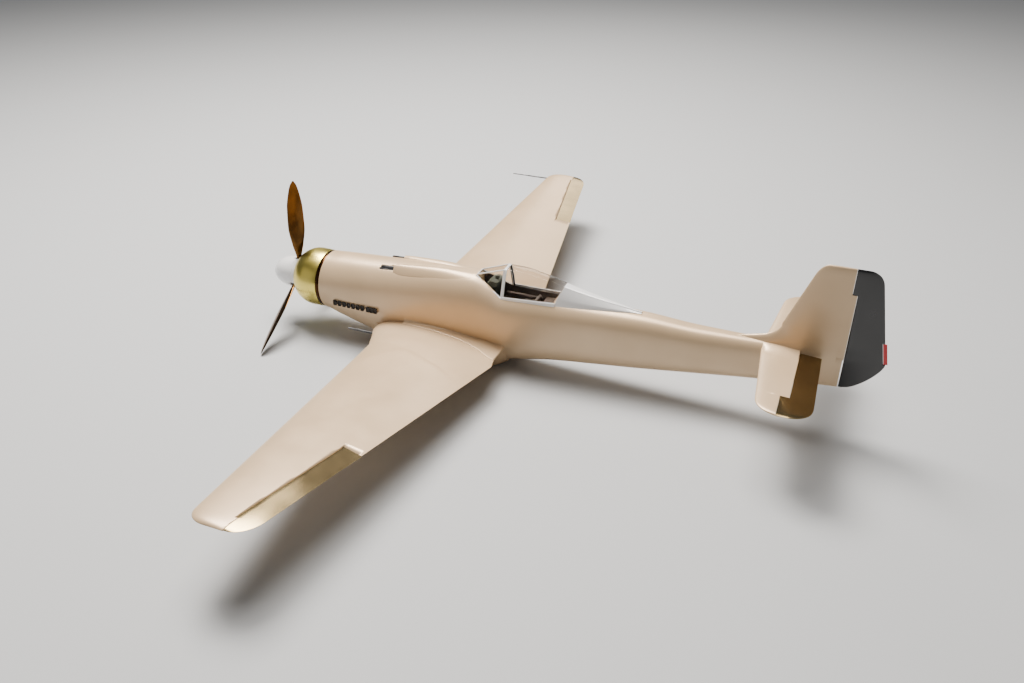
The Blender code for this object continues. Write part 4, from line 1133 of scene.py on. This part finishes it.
def cockpit_opening():
    """The hole in the fuselage under the windscreen and hood."""
    rings = []
    for x in spread(COCKPIT_FRONT, COCKPIT_BACK, 30):
        half = opening_half(x)
        corners = [(-half, COCKPIT_FLOOR), (-half, 0.2), (half, 0.2), (half, COCKPIT_FLOOR)]
        rings.append([Vector((x, y, z)) for y, z in corners])
    return loft(rings)


def cockpit_tub():
    """Floor, side walls and consoles of the cockpit."""
    low = COCKPIT_FLOOR + 0.0003
    floors, walls = [], {-1: [], 1: []}
    for x in spread(COCKPIT_FRONT + 0.0003, COCKPIT_BACK - 0.0003, 30):
        half = opening_half(x) - 0.0003
        top = body_top_at(x, half) - 0.0012
        floors.append([Vector((x, y, z)) for y, z in ((-half, low), (-half, low + 0.0022), (half, low + 0.0022),
                                                      (half, low))])
        for side, rings in walls.items():
            corners = [(half, low), (half, top), (half - 0.0012, top), (half - 0.0012, low)]
            rings.append([Vector((x, side * y, z)) for y, z in corners])
    consoles = [block((0.5000, side * 0.0205 - 0.0035, 0.0225), (0.5700, side * 0.0205 + 0.0035, 0.0340), 0.0010)
                for side in (-1, 1)]
    rear = block((0.5790, -0.0215, 0.0225), (0.6040, 0.0215, 0.0380), 0.0020)
    return joined(loft(floors), *[loft(rings) for rings in walls.values()], *consoles, rear)


def seat():
    """A bucket seat with a low back."""
    pan = block((0.5390, -0.0135, 0.0232), (0.5640, 0.0135, 0.0310), 0.0030)
    back = block((0.5630, -0.0140, 0.0232), (0.5690, 0.0140, 0.0440), 0.0025)
    for vert in back.verts:
        vert.co.x += 0.16 * (vert.co.z - 0.0232)
    return joined(pan, back)


def instrument_panel():
    """A hooded panel with a row of round dials and a gun sight on top."""
    outline = [(0.4735, 0.0233), (0.4735, 0.0620), (0.4790, 0.0665), (0.4870, 0.0680), (0.4950, 0.0655),
               (0.4950, 0.0600), (0.4870, 0.0570), (0.4860, 0.0233)]
    board = loft([[Vector((x, y, z)) for x, z in outline] for y in spread(-0.0170, 0.0170, 6)])
    dials = []
    for y in (-0.0095, 0.0, 0.0095):
        for z in (0.0400, 0.0500):
            dials.append(rod([(0.4858, y, z), (0.4872, y, z), (0.4872, y, z), (0.4864, y, z)],
                             [0.0038, 0.0038, 0.0033, 0.0032]))
    sight = block((0.4860, -0.0030, 0.0670), (0.4930, 0.0030, 0.0740), 0.0010)
    return joined(board, sight, *dials)


# ---------------------------------------------------------------- assembly
def build_airframe():
    cavity = hidden("cockpit_cavity", cockpit_opening(), "cockpit_dark")
    slots = [hidden(f"gun_slot_{name}", on_side(gun_slot(), side), "gunmetal") for side, name in SIDES]
    piece("skin_fuselage", fuselage_skin(), "pearl_skin", AIRFRAME, ("fuselage_left", "fuselage_right"),
          cutters=[cavity, *slots])
    piece("skin_belly", belly_skin(), "pearl_skin", AIRFRAME, ("wing_centre",))
    wing, bay, fillet, aileron = wing_skin(), aileron_bay(), fillet_skin(), aileron_skin()
    stabilizer, elevator, fin_side, tail_top = stabilizer_skin(), elevator_skin(), fin_web(), tail_web()
    row, blister, barrel, gun = exhaust_row(), gun_fairing(), gun_barrel(), root_gun()
    for side, name in SIDES:
        tool = hidden(f"aileron_bay_{name}", on_side(bay, side))
        piece(f"skin_wing_{name}", on_side(wing, side), "pearl_skin", AIRFRAME, (f"wing_{name}",), cutters=[tool])
        piece(f"root_fillet_{name}", on_side(fillet, side), "pearl_skin", AIRFRAME)
        piece(f"skin_aileron_{name}", on_side(aileron, side), "satin_gold", f"{name}_aileron", (f"aileron_{name}",))
        piece(f"skin_stabilizer_{name}", on_side(stabilizer, side), "pearl_skin", AIRFRAME, (f"stabilizer_{name}",))
        piece(f"fin_web_{name}", on_side(fin_side, side), "pearl_skin", AIRFRAME)
        piece(f"tail_web_{name}", on_side(tail_top, side), "pearl_skin", AIRFRAME)
        piece(f"skin_elevator_{name}", on_side(elevator, side), "satin_gold", ELEVATOR_BODY, (f"elevator_{name}",))
        piece(f"exhaust_stack_{name}", on_side(row, side), "soot", AIRFRAME, (f"exhaust_{name}",))
        piece(f"gun_blister_{name}", on_side(blister, side), "pearl_skin", AIRFRAME, (f"gun_fairing_{name}",))
        piece(f"gun_muzzle_{name}", on_side(barrel, side), "gunmetal", AIRFRAME, (f"cowl_gun_{name}",))
        piece(f"wing_gun_{name}", on_side(gun, side), "gunmetal", AIRFRAME, (f"root_gun_{name}",))
    piece("probe", pitot(), "gunmetal", AIRFRAME, ("pitot_tube",))
    piece("skin_fin", fin_skin(), "pearl_skin", AIRFRAME, ("fin",))
    piece("skin_rudder", rudder_skin(), "charcoal", RUDDER_BODY, ("rudder",), cutters=[hidden("tab_bay", tab_bay())])
    piece("trim_tab", tab_skin(), "red_tab", RUDDER_BODY, ("rudder_tab",))
    piece("cowl", turned(COWL), "gold", AIRFRAME, ("cowl_ring",))
    piece("cowl_strap", turned(BAND), "dark_copper", AIRFRAME, ("cowl_band",))


def build_propeller():
    slots = [hidden(f"blade_slot_{k + 1}", blade_slot(120 * k), "black_plastic") for k in range(3)]
    piece("spinner_dome", turned(spinner_profile()), "white_pearl", PROPELLER, ("spinner",), cutters=slots)
    for k in range(3):
        piece(f"blade_{k + 1}", blade_skin(120 * k), "copper", PROPELLER, (f"prop_blade_{k + 1}",))
    hub = turned([(0.0510, 0.0036), (0.0510, 0.0110), (0.0515, 0.0115), (0.0640, 0.0120), (0.0662, 0.0295),
                  (0.0667, 0.0300), (0.0685, 0.0300), (0.0690, 0.0295), (0.0690, 0.0036)])
    piece("hub", hub, "black_plastic", PROPELLER, ("prop_hub",))
    fins = turned([(0.0860, 0.0034), (0.0860, 0.0140), (0.0866, 0.0150), (0.0900, 0.0205), (0.0910, 0.0210),
                   (0.1175, 0.0210), (0.1180, 0.0205), (0.1180, 0.0185), (0.0925, 0.0180), (0.0900, 0.0034)])
    piece("motor_can", fins, "gunmetal", PROPELLER, ("motor_bell",))
    shaft = rod([(0.0420, 0, 0), (0.0426, 0, 0), (0.1444, 0, 0), (0.1450, 0, 0)], [0.0025, 0.0030, 0.0030, 0.0025])
    piece("shaft", shaft, "steel", PROPELLER, ("prop_shaft",))


def build_canopy():
    front_ribs = [(x, x) for x in spread(0.4560, HOOP_X - 0.0008, 12)]
    piece("windscreen_panes", tunnel(WINDSCREEN, front_ribs, 0.0011, -0.003, 0.0), "clear", AIRFRAME,
          ("windscreen_glass",))
    piece("windscreen_struts", windscreen_frame(), "white_pearl", AIRFRAME, ("windscreen_frame",))
    glass_ribs = [(HOOP_X + 0.0030 + (GLASS_FOOT_X - HOOP_X - 0.0030) * k / 24,
                   HOOP_X + 0.0030 + (GLASS_TOP_X - HOOP_X - 0.0030) * k / 24) for k in range(25)]
    piece("hood_glass", tunnel(HOOD, glass_ribs, 0.0011), "clear", HOOD_BODY, ("canopy_glass",))
    hoop = tunnel(HOOD, [(HOOP_X + x, HOOP_X + x) for x in (0.0018, 0.0024, 0.0046, 0.0050)], 0.0018)
    # A thin black sleeve inside the hoop is painted shade: it darkens the hoop's inside, where shade falls on the
    # white frame.
    shade_sleeve_rows = [(x, base - 0.0019, foot, top - 0.0012, high - 0.0019) for x, base, foot, top, high in HOOD]
    shade_sleeve = tunnel(shade_sleeve_rows, [(HOOP_X + x, HOOP_X + x) for x in (0.0019, 0.0049)], 0.0006)
    piece("hoop_painted_shade", shade_sleeve, "black_plastic", HOOD_BODY)
    foot_ribs = spread(HOOP_X + 0.0020, GLASS_FOOT_X + 0.002, 20)
    piece("hood_frame", joined(hoop, sill(1, foot_ribs), sill(-1, foot_ribs)), "white_pearl", HOOD_BODY,
          ("canopy_frame",))
    last = 0.7620
    tail_ribs_x = [(GLASS_FOOT_X + 0.0004 + (last - GLASS_FOOT_X) * k / 30,
                    GLASS_TOP_X + 0.0004 + (last - GLASS_TOP_X) * k / 30) for k in range(31)]
    piece("hood_tail", tunnel(HOOD, tail_ribs_x, 0.0014, -0.006), "white_pearl", HOOD_BODY, ("canopy_fairing",))
    piece("cockpit_floor", cockpit_tub(), "cockpit_dark", AIRFRAME, ("cockpit_tub",))
    piece("pilot_seat", seat(), "cockpit_dark", AIRFRAME, ("seat",))
    piece("dashboard", instrument_panel(), "panel_green", AIRFRAME, ("instrument_panel",))


INNER_NODES = {
    "plywood": ("firewall", "battery_tray", "servo_tray", "wing_bolt_plate"),
    "nylon": ("wing_bolt_left", "wing_bolt_right"),
    "servo_blue": ("aileron_servo_left", "aileron_servo_right", "elevator_servo", "rudder_servo"),
    "battery_wrap": ("battery",),
    "black_plastic": ("speed_controller", "receiver"),
    "carbon": ("wing_spar_left", "wing_spar_right"),
    "steel": ("motor_stator", "elevator_joiner"),
    "gunmetal": ("motor_mount",),
}


def dress_inner_nodes():
    """The pieces inside keep their CAD shape, with softened edges and their own paint."""
    for look, nodes in INNER_NODES.items():
        for node in nodes:
            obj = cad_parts[node]
            obj.data.materials.clear()
            obj.data.materials.append(PAINT[look])
            soften = obj.modifiers.new("soften", "BEVEL")
            soften.width = 0.0003
            soften.segments = 2


# ---------------------------------------------------------------- studio
def area_light(name, place, target, size, power, colour=(1, 1, 1)):
    data = bpy.data.lights.new(name, "AREA")
    data.shape = "RECTANGLE"
    data.size, data.size_y = size
    data.energy = power
    data.color = colour
    lamp = bpy.data.objects.new(name, data)
    lamp.location = place
    lamp.rotation_euler = (Vector(target) - Vector(place)).to_track_quat("-Z", "Y").to_euler()
    bpy.context.scene.collection.objects.link(lamp)


WARM = (1.0, 0.945, 0.875)


def build_studio():
    floor = bmesh.new()
    bmesh.ops.create_grid(floor, x_segments=40, y_segments=40, size=20.0)
    material, shader = shader_of("floor_paper", (0.50, 0.515, 0.535), 0.7)
    bumped(material, shader, noise_on(material, 60.0), 0.02, 0.001)
    mesh = bpy.data.meshes.new("floor")
    floor.to_mesh(mesh)
    floor.free()
    mesh.materials.append(material)
    stage = bpy.data.objects.new("floor", mesh)
    stage.location = (0, 0, -0.0003)
    bpy.context.scene.collection.objects.link(stage)
    area_light("key", (-1.30, 0.90, 2.90), (0, 0, 0.05), (1.40, 1.40), 205, WARM)
    area_light("overhead", (-0.3, 0.5, 3.0), (0, 0, 0), (1.8, 1.8), 110, WARM)
    area_light("rim", (-0.75, 3.00, 1.75), (0, 0, 0.05), (0.90, 0.90), 12, WARM)
    area_light("fill", (-2.0, -2.0, 1.0), (0, 0, 0), (1.8, 1.8), 4, WARM)
    world = bpy.data.worlds.new("studio")
    world.use_nodes = True
    world.node_tree.nodes["Background"].inputs["Color"].default_value = (0.62, 0.64, 0.66, 1.0)
    world.node_tree.nodes["Background"].inputs["Strength"].default_value = 0.20
    bpy.context.scene.world = world


CAMERA_AZIMUTH, CAMERA_ELEVATION, CAMERA_ROLL = 21.8581, 30.3843, 0.2559
CAMERA_PLACE = Vector((1.06591, -1.36516, 0.80236))
CAMERA_LENS = 31.64


def build_camera():
    azimuth, elevation, roll = (math.radians(v) for v in (CAMERA_AZIMUTH, CAMERA_ELEVATION, CAMERA_ROLL))
    back = Vector((math.sin(azimuth) * math.cos(elevation), -math.cos(azimuth) * math.cos(elevation),
                   math.sin(elevation)))
    right = Vector((math.cos(azimuth), math.sin(azimuth), 0))
    up = back.cross(right)
    rolled_right = math.cos(roll) * right + math.sin(roll) * up
    rolled_up = -math.sin(roll) * right + math.cos(roll) * up
    data = bpy.data.cameras.new("camera")
    data.lens = CAMERA_LENS
    data.sensor_width = 36.0
    camera = bpy.data.objects.new("camera", data)
    turn = Matrix((rolled_right, rolled_up, back)).transposed().to_4x4()
    camera.matrix_world = Matrix.Translation(CAMERA_PLACE + DATUM) @ turn
    bpy.context.scene.collection.objects.link(camera)
    bpy.context.scene.camera = camera


build_airframe()
build_propeller()
build_canopy()
dress_inner_nodes()
build_studio()
build_camera()
